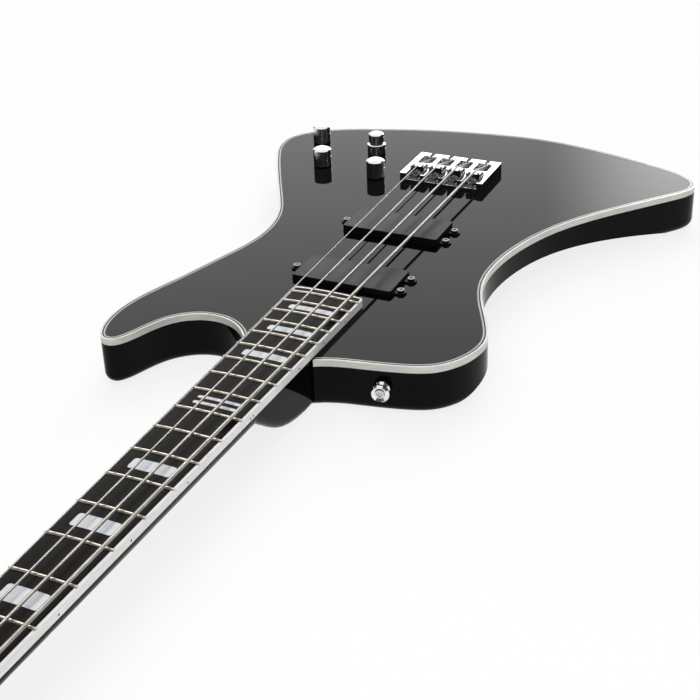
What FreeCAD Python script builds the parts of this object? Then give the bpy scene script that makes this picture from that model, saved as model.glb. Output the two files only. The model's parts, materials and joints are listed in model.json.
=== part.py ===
import FreeCAD, Part
import math
import os
import Sketcher

# Electric bass guitar with an offset body, a neck that runs through it and four strings.
# Frame: x runs from the saddle line to the headstock, y to the bass side, z out of the face.
# The back of the body lies on z = 0.  Lengths are in millimetres and angles in degrees.

Vector = FreeCAD.Vector
Placement = FreeCAD.Placement
Rotation = FreeCAD.Rotation
X_AXIS = Vector(1, 0, 0)
Y_AXIS = Vector(0, 1, 0)
Z_AXIS = Vector(0, 0, 1)
DOWN = Vector(0, 0, -1)

SIZES = (
    # Scale, neck and fretboard
    ("scale_length", 863.6),
    ("fret_total", 20),
    ("nut_width", 42),
    ("nut_length", 5),
    ("last_fret_width", 61),
    ("board_thickness", 7.5),
    ("board_radius", 400),
    ("board_overhang", 9),
    ("board_corner", 3),
    ("board_binding", 1.8),
    ("fret_width", 2.4),
    ("fret_height", 1.1),
    ("tang_width", 0.6),
    ("tang_depth", 2.2),
    ("block_share", 0.37),
    ("block_width_share", 0.62),
    ("block_corner", 2.2),
    ("bar_length", 3.2),
    ("bar_gap", 4),
    ("inlay_depth", 1.4),
    ("side_dot_radius", 0.8),
    ("side_dot_depth", 1.2),
    ("side_dot_rise", 2.2),
    ("neck_joint", 351),
    ("neck_depth_nut", 15),
    ("neck_depth_heel", 20),
    ("heel_length", 80),
    ("heel_round", 6),
    # Headstock and truss rod
    ("headstock_length", 168),
    ("headstock_width", 84),
    ("headstock_thickness", 15),
    ("headstock_tilt", 4),
    ("rod_width", 6),
    ("rod_height", 8),
    ("rod_tail", 60),
    ("rod_depth", 5.5),
    ("rod_end_radius", 2),
    ("rod_end_length", 8),
    ("rod_nut_radius", 3.4),
    ("rod_nut_length", 14),
    ("rod_nut_socket", 4),
    ("rod_cover_length", 46),
    ("rod_cover_width", 24),
    ("rod_cover_thickness", 2),
    ("rod_cover_corner", 4),
    # Body
    ("body_length", 519),
    ("body_width", 419.1),
    ("body_thickness", 41),
    ("back_round", 8),
    ("core_width", 62),
    ("wing_split", 45),
    ("binding_height", 5.5),
    ("binding_width", 1.7),
    ("line_gap", 1.1),
    ("purfling_width", 1.3),
    ("purfling_depth", 1.2),
    ("belly_depth", 17.4),
    ("belly_reach", 85),
    ("belly_radius", 610),
    # Strings
    ("nut_spacing", 11.05),
    ("bridge_spacing", 19),
    ("string_rise_nut", 2.9),
    ("string_rise_saddle", 14.4),
    ("gauge_e", 2.67),
    ("gauge_a", 2.16),
    ("gauge_d", 1.65),
    ("gauge_g", 1.14),
    ("string_bend", 8),
    ("wrap_turns", 2),
    ("wrap_gap", 0.45),
    ("ball_radius", 3),
    # Tuners
    ("near_post_x", 60),
    ("near_post_y", 25),
    ("far_post_x", 124),
    ("far_post_y", 21),
    ("post_radius", 6),
    ("post_height", 21),
    ("post_cap_radius", 7.2),
    ("post_cap_height", 3),
    ("post_shaft_radius", 4.5),
    ("post_slot", 3.2),
    ("bushing_radius", 7),
    ("bushing_flange", 9),
    ("bushing_flange_height", 2),
    ("bushing_depth", 8),
    ("gear_radius", 9),
    ("gear_thickness", 4),
    ("gear_teeth", 20),
    ("tooth_depth", 0.9),
    ("plate_length", 37),
    ("plate_width", 22),
    ("plate_thickness", 2),
    ("worm_radius", 3),
    ("worm_length", 11),
    ("key_shaft_radius", 2.2),
    ("key_reach", 30),
    ("key_radius", 11),
    ("key_half_width", 9),
    ("key_thickness", 6),
    ("bracket_thickness", 3),
    # Bridge
    ("bridge_front", 17.7),
    ("bridge_length", 56),
    ("bridge_width", 83.6),
    ("bridge_height", 9.1),
    ("bridge_floor", 3),
    ("divider_width", 4.5),
    ("tail_length", 7.5),
    ("tail_slot", 4),
    ("ball_rise", 4.8),
    ("thread_wall_rear", 15),
    ("thread_wall_length", 7),
    ("thread_wall_height", 7.9),
    ("saddle_front", 7),
    ("saddle_rear", 6.5),
    ("saddle_width", 13.9),
    ("saddle_lift", 1),
    ("saddle_slope", 32),
    ("saddle_crest", 1),
    ("height_screw_rise", 1),
    ("height_screw_radius", 1.5),
    ("height_screw_offset", 4.6),
    ("intonation_rise", 5.9),
    ("intonation_radius", 1.4),
    ("intonation_head_radius", 2.5),
    ("intonation_head_length", 2.6),
    ("intonation_length", 21),
    # Pickups
    ("pickup_length", 41),
    ("pickup_width", 89.5),
    ("pickup_depth", 15),
    ("pickup_wall", 1.6),
    ("pickup_corner", 2),
    ("pickup_edge", 0.6),
    ("neck_pickup_x", 221.5),
    ("neck_pickup_rise", 4.6),
    ("bridge_pickup_x", 121.2),
    ("bridge_pickup_rise", 6.4),
    ("pickup_cavity_depth", 20),
    ("ear_radius", 4.6),
    ("ear_thickness", 1.6),
    ("ear_reach", 5.2),
    ("ear_spacing", 22),
    ("coil_length", 17),
    ("coil_width", 82),
    ("coil_height", 12),
    # Controls
    ("knob_radius", 9),
    ("knob_height", 19.5),
    ("knob_dome", 3),
    ("knob_rise", 0.6),
    ("knob_recess_radius", 7),
    ("knob_recess_height", 4.5),
    ("ring_radius", 9.3),
    ("ring_height", 10.5),
    ("top_knob_radius", 7.75),
    ("top_knob_height", 12),
    ("top_knob_dome", 2.6),
    ("stack_gap", 0.4),
    ("set_screw_radius", 1.5),
    ("shaft_radius", 3),
    ("inner_shaft_radius", 2),
    ("pot_radius", 12),
    ("pot_height", 9),
    ("pot_bushing_radius", 3.8),
    ("pot_bushing_rise", 4),
    ("pot_nut_radius", 5.6),
    ("pot_nut_height", 2),
    ("cavity_margin", 19),
    ("cavity_ceiling", 7),
    ("cover_margin", 25),
    ("cover_thickness", 2),
    ("battery_length", 48.5),
    ("battery_width", 26.5),
    ("battery_height", 17.5),
    ("circuit_length", 28),
    ("circuit_width", 33),
    ("circuit_thickness", 1.6),
    ("jack_radius", 6),
    ("jack_length", 34),
    ("jack_flange_radius", 10),
    ("jack_flange_thickness", 2),
    ("plug_radius", 3.2),
    ("lead_radius", 1.4),
    ("lead_hole_radius", 3.6),
    # Fasteners and strap buttons
    ("button_height", 9),
    ("button_base_radius", 6),
    ("button_waist_radius", 4.2),
    ("button_flange_radius", 7.25),
    ("button_flange_height", 3),
    ("button_dish", 1.3),
    ("strap_screw_radius", 2),
    ("strap_screw_length", 24),
    ("strap_screw_head", 3.4),
    ("wood_screw_radius", 1.6),
    ("wood_screw_length", 14),
    ("wood_screw_head", 3),
    ("wood_screw_head_height", 1.8),
    ("small_screw_radius", 1.1),
    ("small_screw_length", 8),
    ("small_screw_head", 2.2),
    ("small_screw_head_height", 1.4),
    # Clearances
    ("slip", 0.05),
    ("clearance", 0.3),
)

# Outline of the body from the treble side of the neck round the tail to the bass side.
OUTLINE = (
    (351, -31), (338, -39.5), (324, -58), (322.5, -83), (338, -105), (366, -117.5),
    (378.9, -123.5), (384.5, -129.5), (384.2, -137.9), (378, -143.8), (358, -150.8), (330, -151.5),
    (279, -138), (225, -122.5), (180, -112.3), (148, -113), (118.6, -121.5), (86.5, -138.3),
    (42.4, -163), (0, -185.3), (-30, -196.3), (-52, -196), (-71, -184.5), (-88, -162.5),
    (-103.4, -125), (-120, -70), (-132, 0), (-134.5, 50), (-128, 98), (-101.9, 184),
    (-89, 209), (-76, 220.5), (-63, 222.8), (-40, 210.2), (20, 160.2), (60, 133),
    (100, 115.7), (150, 105), (190, 106.2), (222, 116.5), (262, 135.3), (281, 140.8),
    (300, 139), (317, 131.5), (331, 118.5), (340, 96), (346, 66), (350, 46), (356, 31),
)
# Places on the body, drawn in the same frame as the outline.
VOLUME_POT = (15.7, -68.2)
BLEND_POT = (6.2, -130.1)
MID_POT = (-51, -158.4)
TONE_POT = (-41.3, -92.3)
BATTERY_MIDDLE = (9, -99)
BOARD_MIDDLE = (-24, -125)
HORN_BUTTON = (343, 81)
TAIL_BUTTON = (-132, 0)
JACK_SEAT = (-95, -147)
BELLY_MIDDLE = (128, 108.5)
# Half of the headstock's outline, as shares of its length and half width.
HEADSTOCK_HALF = ((0, 0.5), (0.09, 0.57), (0.2, 0.86), (0.34, 1), (0.6, 0.97), (0.86, 0.86), (0.96, 0.6),
                  (1, 0))
BLOCK_FRETS = (3, 5, 7, 9, 15, 17, 19)
OCTAVE_FRET = 12
STRINGS = ("e", "a", "d", "g")
# Shares of a knob's height at which its set screw sits and its shaft ends
SET_SCREW_LEVEL = 0.55
SHAFT_END = 0.75
# Cross recess of a screw and rounding of a key, as shares of the head and the paddle.
CROSS_REACH = 0.72
CROSS_DEPTH = 0.22
PADDLE_ROUND = 0.3
# Underside of the heel, as shares of its length and of the body's height.
HEEL_CURVE = ((0, 0), (0.35, 0.03), (0.65, 0.2), (0.88, 0.5), (1.1, 0.82))

doc = FreeCAD.newDocument("electric_bass_guitar")
sheet = doc.addObject("Spreadsheet::Sheet", "sizes")
for row, (alias, value) in enumerate(SIZES, start=1):
    sheet.set(f"A{row}", alias)
    sheet.set(f"B{row}", str(value))
    sheet.setAlias(f"B{row}", alias)
doc.recompute()


def size(alias):
    """Value of one driving dimension."""
    return float(sheet.get(alias))


def number(expression):
    """Value of an expression over the driving dimensions."""
    result = sheet.evalExpression(expression)
    return float(getattr(result, "Value", result))


TOP = size("body_thickness")
TILT = size("headstock_tilt")
SLIP = size("slip")
CLEAR = size("clearance")
CORE_HALF = size("core_width") / 2
NUT_X = size("scale_length")
HEAD_X = NUT_X + size("nut_length")
HEAD = Placement(Vector(HEAD_X, 0, TOP), Rotation(Y_AXIS, TILT))
FRETS = int(size("fret_total"))
GAUGES = [size("gauge_" + name) for name in STRINGS]
wood_cuts = []
nodes = {}


# Helpers

def keep(label, thing):
    """Names a document object as one piece of the instrument."""
    thing.Label = label
    nodes[label] = thing
    return thing


def feature(label, shape, placement=None):
    """A piece whose shape is worked out by a function."""
    thing = doc.addObject("Part::Feature", label)
    thing.Shape = shape
    if placement is not None:
        thing.Placement = placement
    return keep(label, thing)


def bind(thing, **expressions):
    """Ties properties of an object to the sheet."""
    for name, expression in expressions.items():
        thing.setExpression(name, expression)
    return thing


def place(thing, x, y, z):
    """Ties an object's position to the sheet."""
    for axis, expression in (("x", x), ("y", y), ("z", z)):
        thing.setExpression("Placement.Base." + axis, expression)
    return thing


def box(name, length, width, height, x, y, z):
    """A box whose sizes and corner are expressions."""
    thing = doc.addObject("Part::Box", name)
    bind(thing, Length=length, Width=width, Height=height)
    return place(thing, x, y, z)


def cylinder(name, radius, height, x, y, z):
    """An upright cylinder whose sizes and place are expressions."""
    thing = doc.addObject("Part::Cylinder", name)
    bind(thing, Radius=radius, Height=height)
    return place(thing, x, y, z)


def fuse(name, things):
    """One solid from several overlapping ones."""
    thing = doc.addObject("Part::MultiFuse", name)
    thing.Shapes = things
    thing.Refine = True
    return thing


def cut(name, base, tool):
    """What is left of one object without another."""
    thing = doc.addObject("Part::Cut", name)
    thing.Base = base
    thing.Tool = tool
    return thing


def common(name, first, second):
    """What two objects share."""
    thing = doc.addObject("Part::Common", name)
    thing.Base = first
    thing.Tool = second
    return thing


def gathered(name, shapes):
    """Shapes gathered into one object that others are cut with."""
    thing = doc.addObject("Part::Feature", name)
    thing.Shape = Part.makeCompound(shapes)
    return thing


def compound(label, things):
    """Several separate solids in one node."""
    thing = doc.addObject("Part::Compound", label)
    thing.Links = things
    return keep(label, thing)


def origin_plane(body, role):
    """One of a body's own origin planes."""
    return [item for item in body.Origin.OriginFeatures if item.Role == role][0]


def polygon_sketch(body, name, role, corners, lift=None):
    """A closed polygon on or above an origin plane, each corner tied to a pair of expressions."""
    sketch = body.newObject("Sketcher::SketchObject", name)
    sketch.AttachmentSupport = (origin_plane(body, role), [""])
    sketch.MapMode = "FlatFace"
    if lift is not None:
        sketch.setExpression("AttachmentOffset.Base.z", lift)
    places = [(number(across), number(along)) for across, along in corners]
    count = len(corners)
    for index in range(count):
        start = places[index]
        end = places[(index + 1) % count]
        sketch.addGeometry(Part.LineSegment(Vector(*start, 0), Vector(*end, 0)))
    for index in range(count):
        sketch.addConstraint(Sketcher.Constraint("Coincident", index, 2, (index + 1) % count, 1))
    for index, corner in enumerate(corners):
        for kind, axis, value, expression in zip(("DistanceX", "DistanceY"), (-2, -1), places[index], corner):
            if expression == "0":
                sketch.addConstraint(Sketcher.Constraint("PointOnObject", index, 1, axis))
            else:
                mark = sketch.addConstraint(Sketcher.Constraint(kind, -1, 1, index, 1, value))
                sketch.setExpression(f"Constraints[{mark}]", expression)
    return sketch


def rectangle(length, width):
    """Corners of a rectangle about the origin."""
    return [(f"-{length} / 2", f"-{width} / 2"), (f"{length} / 2", f"-{width} / 2"),
            (f"{length} / 2", f"{width} / 2"), (f"-{length} / 2", f"{width} / 2")]


def pad(body, sketch, length):
    """Raises a sketch along its normal."""
    item = body.newObject("PartDesign::Pad", sketch.Name + "_pad")
    item.Profile = sketch
    item.setExpression("Length", length)
    doc.recompute()
    return item


def pocket_up(body, sketch, length):
    """Cuts a sketch into the solid above its plane and checks that it removed something."""
    before = body.Shape.Volume
    item = body.newObject("PartDesign::Pocket", sketch.Name + "_pocket")
    item.Profile = sketch
    item.Reversed = True
    item.setExpression("Length", length)
    doc.recompute()
    if not item.Shape.Volume < before:
        raise RuntimeError(sketch.Name + " cut nothing")
    return item


def round_edges(body, base, chosen, radius):
    """Rounds the edges of a feature that a test picks."""
    names = [f"Edge{index}" for index, edge in enumerate(base.Shape.Edges, start=1) if chosen(edge)]
    item = body.newObject("PartDesign::Fillet", base.Name + "_round")
    item.Base = (base, names)
    item.setExpression("Radius", radius)
    doc.recompute()
    return item


def is_upright(edge):
    """True for a straight edge along z."""
    return abs(edge.tangentAt(edge.FirstParameter).z) > 0.99


def is_at_height(height):
    """Test for edges that lie at one height."""
    return lambda edge: abs(edge.BoundBox.ZMin - height) < 1e-4 and abs(edge.BoundBox.ZMax - height) < 1e-4


def block(low, high):
    """A box shape between two corners."""
    spread = Vector(*high) - Vector(*low)
    return Part.makeBox(spread.x, spread.y, spread.z, Vector(*low))


def rod(start, direction, radius, length):
    """A round bar shape from a point along a direction."""
    return Part.makeCylinder(radius, length, start, direction)


def screw(seat, inward, radius, length, head_radius, head_height):
    """A pan-head screw with a cross recess: its head stands on the seat and its shank goes inward."""
    inward = Vector(inward).normalize()
    face = seat - inward * head_height
    head = rod(face, inward, head_radius, head_height)
    arm_half = head_radius * CROSS_REACH
    across = inward.cross(X_AXIS if abs(inward.x) < 0.9 else Y_AXIS).normalize()
    for arm in (across, inward.cross(across)):
        head = head.cut(rod(face - arm * arm_half, arm, head_radius * CROSS_DEPTH, 2 * arm_half))
    return head.fuse(rod(seat, inward, radius, length)).removeSplitter()


def small_screw(seat, inward):
    """One of the small screws that hold covers and tuner plates."""
    return screw(seat, inward, size("small_screw_radius"), size("small_screw_length"),
                 size("small_screw_head"), size("small_screw_head_height"))


def small_hole(start, inward):
    """Hole for a small screw, long enough for its shank."""
    return rod(start, inward, size("small_screw_radius") + SLIP, size("small_screw_length") + 2)


def wood_screw(seat, inward):
    """One of the longer screws that hold the bridge and the pickups."""
    wood_bore(seat, inward, size("wood_screw_radius"), size("wood_screw_length") + 1)
    return screw(seat, inward, size("wood_screw_radius"), size("wood_screw_length"),
                 size("wood_screw_head"), size("wood_screw_head_height"))


def wood_bore(seat, inward, radius, length, over=0.0):
    """Remembers a hole to be cut from the wood, starting a little outside it."""
    inward = Vector(inward).normalize()
    wood_cuts.append(rod(seat - inward * over, inward, radius + SLIP, length + over))


def spline(points, parameters=None):
    """A smooth curve through points."""
    curve = Part.BSplineCurve()
    if parameters is None:
        curve.interpolate(Points=points)
    else:
        curve.interpolate(Points=points, Parameters=parameters)
    return curve


def lines(points):
    """Straight edges from point to point."""
    return [Part.LineSegment(start, end).toShape() for start, end in zip(points, points[1:])]


def prism(edges, height):
    """A closed flat outline raised along z."""
    return Part.Face(Part.Wire(edges)).extrude(Vector(0, 0, height))


def corner_run(points, radius):
    """Straight runs through points, with a tangent arc at each corner between."""
    edges = []
    start = points[0]
    for before, corner, after in zip(points, points[1:], points[2:]):
        back = (before - corner).normalize()
        ahead = (after - corner).normalize()
        turn = math.pi - back.getAngle(ahead)
        reach = radius * math.tan(turn / 2)
        enter = corner + back * reach
        leave = corner + ahead * reach
        bisector = (back + ahead).normalize()
        middle = corner + bisector * (radius / math.cos(turn / 2) - radius)
        edges.append(Part.LineSegment(start, enter).toShape())
        edges.append(Part.Arc(enter, middle, leave).toShape())
        start = leave
    edges.append(Part.LineSegment(start, points[-1]).toShape())
    return edges


def arc_to(start, corner, end):
    """Arc from start to end whose end tangents meet at the corner."""
    weight = math.cos((corner - start).getAngle(end - start))
    middle = (start + corner * (2 * weight) + end) * (1 / (2 + 2 * weight))
    return Part.Arc(start, middle, end).toShape()


def biarc(start, heading, end, leaving):
    """Two arcs that leave start along one unit direction and reach end along another."""
    chord = end - start
    a = 2 * (heading.dot(leaving) - 1)
    b = -2 * chord.dot(heading + leaving)
    c = chord.dot(chord)
    reach = (-b - math.sqrt(b * b - 4 * a * c)) / (2 * a)
    first = start + heading * reach
    second = end - leaving * reach
    joint = (first + second) * 0.5
    return [arc_to(start, first, joint), arc_to(joint, second, end)]


def tube(edges, radius):
    """A round wire swept along tangent edges."""
    first = edges[0]
    ring = Part.makeCircle(radius, first.valueAt(first.FirstParameter), first.tangentAt(first.FirstParameter))
    sweep = Part.BRepOffsetAPI.MakePipeShell(Part.Wire(edges))
    sweep.add(Part.Wire(ring))
    sweep.build()
    sweep.makeSolid()
    return sweep.shape()


# Frets, fretboard and string lines

def fret_x(fret):
    """Distance of a fret from the saddle line."""
    return NUT_X * 2 ** (-fret / 12)


def board_half(x):
    """Half the fretboard's width at a distance from the saddle line."""
    share = (NUT_X - x) / (NUT_X - fret_x(FRETS))
    return (size("nut_width") + (size("last_fret_width") - size("nut_width")) * share) / 2


BOARD_END = fret_x(FRETS) - size("board_overhang")
CROWN_TOP = TOP + size("board_thickness")
CROWN_RADIUS = size("board_radius")
CROWN_AXIS = Vector(BOARD_END, 0, CROWN_TOP - CROWN_RADIUS)


def crown_drop(y):
    """How far the rounded fretboard falls below its middle at y."""
    return CROWN_RADIUS - math.sqrt(CROWN_RADIUS ** 2 - y ** 2)


def string_side(index):
    """Offset of a string from the middle, in string spacings."""
    return 1.5 - index


def nut_point(index):
    """Middle of a string where it leaves the nut."""
    y = string_side(index) * size("nut_spacing")
    return Vector(NUT_X, y, CROWN_TOP + size("string_rise_nut") - crown_drop(y))


def saddle_point(index):
    """Middle of a string where it leaves its saddle."""
    y = string_side(index) * size("bridge_spacing")
    return Vector(0, y, TOP + size("string_rise_saddle") - crown_drop(y))


def crown_bar(radius):
    """Long round bar whose top is the rounded face of the fretboard."""
    overrun = size("nut_length")
    return rod(CROWN_AXIS - X_AXIS * overrun, X_AXIS, radius, NUT_X - BOARD_END + 2 * overrun)


def board_blank(inset):
    """Tapered fretboard shape, drawn in by an inset on its sides and body end, without its crown."""
    end = BOARD_END + inset
    corners = [Vector(end, -board_half(end) + inset, TOP), Vector(NUT_X, -board_half(NUT_X) + inset, TOP),
               Vector(NUT_X, board_half(NUT_X) - inset, TOP), Vector(end, board_half(end) - inset, TOP)]
    solid = prism(lines(corners + corners[:1]), size("board_thickness"))
    ends = [edge for edge in solid.Edges if is_upright(edge) and abs(edge.BoundBox.XMin - end) < 1e-4]
    return solid.makeFillet(size("board_corner") - inset, ends)


def inlay_prisms():
    """Upright prisms of the block inlays and the two bars at the octave."""
    prisms = []
    low = CROWN_TOP - size("inlay_depth") - crown_drop(board_half(BOARD_END))
    spans = []
    for fret in BLOCK_FRETS:
        if fret <= FRETS:
            middle = (fret_x(fret) + fret_x(fret - 1)) / 2
            spans.append((middle, size("block_share") * (fret_x(fret - 1) - fret_x(fret))))
    middle = (fret_x(OCTAVE_FRET) + fret_x(OCTAVE_FRET - 1)) / 2
    for side in (-1, 1):
        spans.append((middle + side * (size("bar_gap") + size("bar_length")) / 2, size("bar_length")))
    for middle, length in spans:
        half = size("block_width_share") * board_half(middle)
        solid = block((middle - length / 2, -half, low), (middle + length / 2, half, CROWN_TOP))
        corner = min(size("block_corner"), 0.45 * length)
        prisms.append(solid.makeFillet(corner, [edge for edge in solid.Edges if is_upright(edge)]))
    return prisms


def make_fretboard():
    """Fretboard, its binding, the frets in their slots, the inlays and the side dots."""
    crown = crown_bar(CROWN_RADIUS)
    inset = size("board_binding")
    outer = board_blank(0).common(crown)
    inner = board_blank(inset)
    prisms = inlay_prisms()
    inlays = [solid.common(crown) for solid in prisms]
    frets = []
    slots = []
    for fret in range(1, FRETS + 1):
        x = fret_x(fret)
        half = size("fret_width") / 2
        ends = (Vector(x - half, 0, CROWN_TOP), Vector(x + half, 0, CROWN_TOP))
        bow = Part.Arc(ends[0], Vector(x, 0, CROWN_TOP + size("fret_height")), ends[1]).toShape()
        face = Part.Face(Part.Wire([bow] + lines([ends[1], ends[0]])))
        sweep = math.degrees(math.asin((board_half(x) - CLEAR) / CROWN_RADIUS))
        face.rotate(CROWN_AXIS, X_AXIS, -sweep)
        bead = face.revolve(CROWN_AXIS, X_AXIS, 2 * sweep)
        reach = board_half(x) - inset - 2 * CLEAR
        low = CROWN_TOP - size("tang_depth") - crown_drop(board_half(x))
        tang_half = size("tang_width") / 2
        tang = block((x - tang_half, -reach, low), (x + tang_half, reach, CROWN_TOP)).common(crown)
        frets.append(bead.fuse(tang))
        slots.append(block((x - tang_half - SLIP, -reach - SLIP, low - SLIP),
                           (x + tang_half + SLIP, reach + SLIP, CROWN_TOP + 1)))
    core = inner.common(crown).cut(Part.makeCompound(slots + prisms))
    dots = []
    for fret in BLOCK_FRETS + (OCTAVE_FRET,):
        middle = (fret_x(fret) + fret_x(fret - 1)) / 2
        shifts = (-size("bar_gap") / 2, size("bar_gap") / 2) if fret == OCTAVE_FRET else (0,)
        for shift in shifts:
            x = middle + shift
            seat = Vector(x, board_half(x) - size("side_dot_depth"), TOP + size("side_dot_rise"))
            dots.append(rod(seat, Y_AXIS, size("side_dot_radius"), size("side_dot_depth") * 2))
    dots = Part.makeCompound(dots)
    rim = outer.cut(inner)
    feature("fretboard", core)
    feature("fretboard_binding", rim.cut(dots))
    feature("frets", Part.makeCompound(frets))
    feature("inlays", Part.makeCompound(inlays))
    feature("side_dots", dots.common(outer))


def nut_bend(index):
    """Point inside the nut where a string turns down to its post."""
    ahead = (nut_point(index) - saddle_point(index)).normalize()
    return nut_point(index) + ahead * size("nut_length") / 2


def make_nut():
    """Nut block with a slot for each string; a slot's floor follows the string over its bend."""
    half = board_half(NUT_X)
    highest = max(nut_point(index).z for index in range(len(STRINGS)))
    solid = block((NUT_X, -half, TOP), (HEAD_X, half, highest + CLEAR))
    for index, gauge in enumerate(GAUGES):
        bend = nut_bend(index)
        floor = []
        for goal in (saddle_point(index), post_tangent(index)[0]):
            heading = (goal - bend).normalize()
            floor.append(bend + heading * size("nut_length") - Z_AXIS * (gauge / 2 + 2 * SLIP))
        middle = bend - Z_AXIS * (gauge / 2 + 2 * SLIP)
        profile = [Vector(point.x, 0, point.z) for point in (floor[0], middle, floor[1])]
        profile += [Vector(point.x, 0, highest + 1) for point in (floor[1], floor[0])]
        slot = Part.Face(Part.Wire(lines(profile + profile[:1]))).extrude(Y_AXIS * (gauge + 2 * CLEAR))
        slot.translate(Y_AXIS * (bend.y - gauge / 2 - CLEAR))
        solid = solid.cut(slot)
    feature("nut", solid)


# Tuners and strings

def post_place(index):
    """Post of a string on the headstock: along, across and the side it stands on."""
    side = 1 if index < 2 else -1
    kind = "near" if index in (0, 3) else "far"
    return size(kind + "_post_x"), side * size(kind + "_post_y"), side


def wrap_radius(index):
    """Radius of the middle of a string round its post."""
    return size("post_radius") + CLEAR + GAUGES[index] / 2


def wrap_pitch(index):
    """Rise of one turn of a string on its post."""
    return GAUGES[index] + size("wrap_gap")


def wrap_start(index):
    """Height over the headstock's face where a string meets its post."""
    rest = size("bushing_flange_height") + 2 * CLEAR + GAUGES[index] / 2
    return rest + size("wrap_turns") * wrap_pitch(index)


def post_tangent(index):
    """Where a string touches its post, and the angle of that point round the post."""
    along, across, side = post_place(index)
    bend = HEAD.inverse().multVec(nut_bend(index))
    to_post = Vector(along - bend.x, across - bend.y, 0)
    radius = wrap_radius(index)
    lean = math.degrees(math.asin(radius / to_post.Length))
    heading = Rotation(Z_AXIS, -side * lean).multVec(to_post).normalize()
    touch = Vector(bend.x, bend.y, 0) + heading * math.sqrt(to_post.Length ** 2 - radius ** 2)
    angle = math.atan2(touch.y - across, touch.x - along)
    return HEAD.multVec(Vector(touch.x, touch.y, wrap_start(index))), angle


def wrap_point(index, turned):
    """Point and direction of a string after it has turned by an angle round its post."""
    along, across, side = post_place(index)
    radius = wrap_radius(index)
    angle = post_tangent(index)[1] + side * turned
    drop = wrap_pitch(index) / (2 * math.pi)
    local = Vector(along + radius * math.cos(angle), across + radius * math.sin(angle),
                   wrap_start(index) - drop * turned)
    heading = Vector(-side * radius * math.sin(angle), side * radius * math.cos(angle), -drop).normalize()
    return HEAD.multVec(local), HEAD.Rotation.multVec(heading)


def ball_point(index):
    """Middle of a string's ball end in the tail of the bridge."""
    rear = size("bridge_front") - size("bridge_length")
    y = string_side(index) * size("bridge_spacing")
    return Vector(rear + size("ball_radius") + CLEAR, y, TOP + size("ball_rise"))


def least_gap(edges, gauge, apart):
    """Least free distance between stretches of a tube that lie further apart along it than a length."""
    points = []
    run = 0.0
    for edge in edges:
        for share in range(8):
            length = edge.Length * share / 8
            points.append((run + length, edge.valueAt(edge.getParameterByLength(length))))
        run += edge.Length
    gap = 1e9
    for index, (place_a, point_a) in enumerate(points):
        for place_b, point_b in points[index + 1:]:
            if place_b - place_a > apart:
                gap = min(gap, (point_a - point_b).Length - gauge)
    return gap


def make_strings():
    """Four strings from ball end over saddle and nut to their turns on the posts."""
    quarter = math.pi / 2
    for index, name in enumerate(STRINGS):
        gauge = GAUGES[index]
        touch = post_tangent(index)[0]
        route = [ball_point(index), saddle_point(index), nut_bend(index), touch]
        edges = corner_run(route, size("string_bend"))
        point = touch
        heading = (touch - nut_bend(index)).normalize()
        turns = []
        for step in range(1, round(size("wrap_turns") * 4) + 1):
            arrival, leaving = wrap_point(index, step * quarter)
            turns += biarc(point, heading, arrival, leaving)
            point = arrival
            heading = leaving
        turns.append(Part.LineSegment(point, point + heading * gauge).toShape())
        half_turn = math.pi * wrap_radius(index)
        print("string", name, "least gap between turns", round(least_gap(turns, gauge, half_turn), 3))
        wire = tube(edges + turns, gauge / 2)
        feature("string_" + name, wire.fuse(Part.makeSphere(size("ball_radius"), ball_point(index))))


def gear_blank(radius, depth, teeth, thickness):
    """Gear with notched teeth, standing on z = 0."""
    points = []
    for tooth in range(teeth):
        for share, reach in ((0, radius - depth), (0.3, radius), (0.6, radius), (0.9, radius - depth)):
            angle = 2 * math.pi * (tooth + share) / teeth
            points.append(Vector(reach * math.cos(angle), reach * math.sin(angle), 0))
    return prism(lines(points + points[:1]), thickness)


def through(middle, radius):
    """Round hole right through the headstock and the plate behind it."""
    reach = 2 * size("headstock_thickness")
    return rod(middle - Z_AXIS * reach, Z_AXIS, radius, 2 * reach)


def tuner_post(middle, gear_low):
    """Post: shaft through the headstock, drum and slotted cap above the face, gear below the plate."""
    drum_low = size("bushing_flange_height") + CLEAR
    top = size("post_height")
    cap_low = top - size("post_cap_height")
    steps = ((gear_low, drum_low, size("post_shaft_radius")), (drum_low, top, size("post_radius")),
             (cap_low, top, size("post_cap_radius")))
    solids = [rod(middle + Z_AXIS * low, Z_AXIS, radius, high - low) for low, high, radius in steps]
    teeth = int(size("gear_teeth"))
    gear = gear_blank(size("gear_radius"), size("tooth_depth"), teeth, size("gear_thickness"))
    gear.translate(middle + Z_AXIS * gear_low)
    half = size("post_slot") / 2
    reach = size("post_cap_radius") + 1
    slot = block((-reach, -half, cap_low), (reach, half, top + 1))
    slot.translate(middle)
    return solids[0].fuse(solids[1:] + [gear]).cut(slot)


def tuner_bushing(middle):
    """Flanged sleeve pressed into the face round a post."""
    depth = size("bushing_depth")
    sleeve = rod(middle, Z_AXIS, size("bushing_flange"), size("bushing_flange_height"))
    sleeve = sleeve.fuse(rod(middle - Z_AXIS * depth, Z_AXIS, size("bushing_radius"), depth))
    wood_cuts.append(place_shape(rod(middle - Z_AXIS * (depth + SLIP), Z_AXIS, size("bushing_radius") + SLIP,
                                     depth + 1)))
    return sleeve.cut(through(middle, size("post_shaft_radius") + SLIP))


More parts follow.
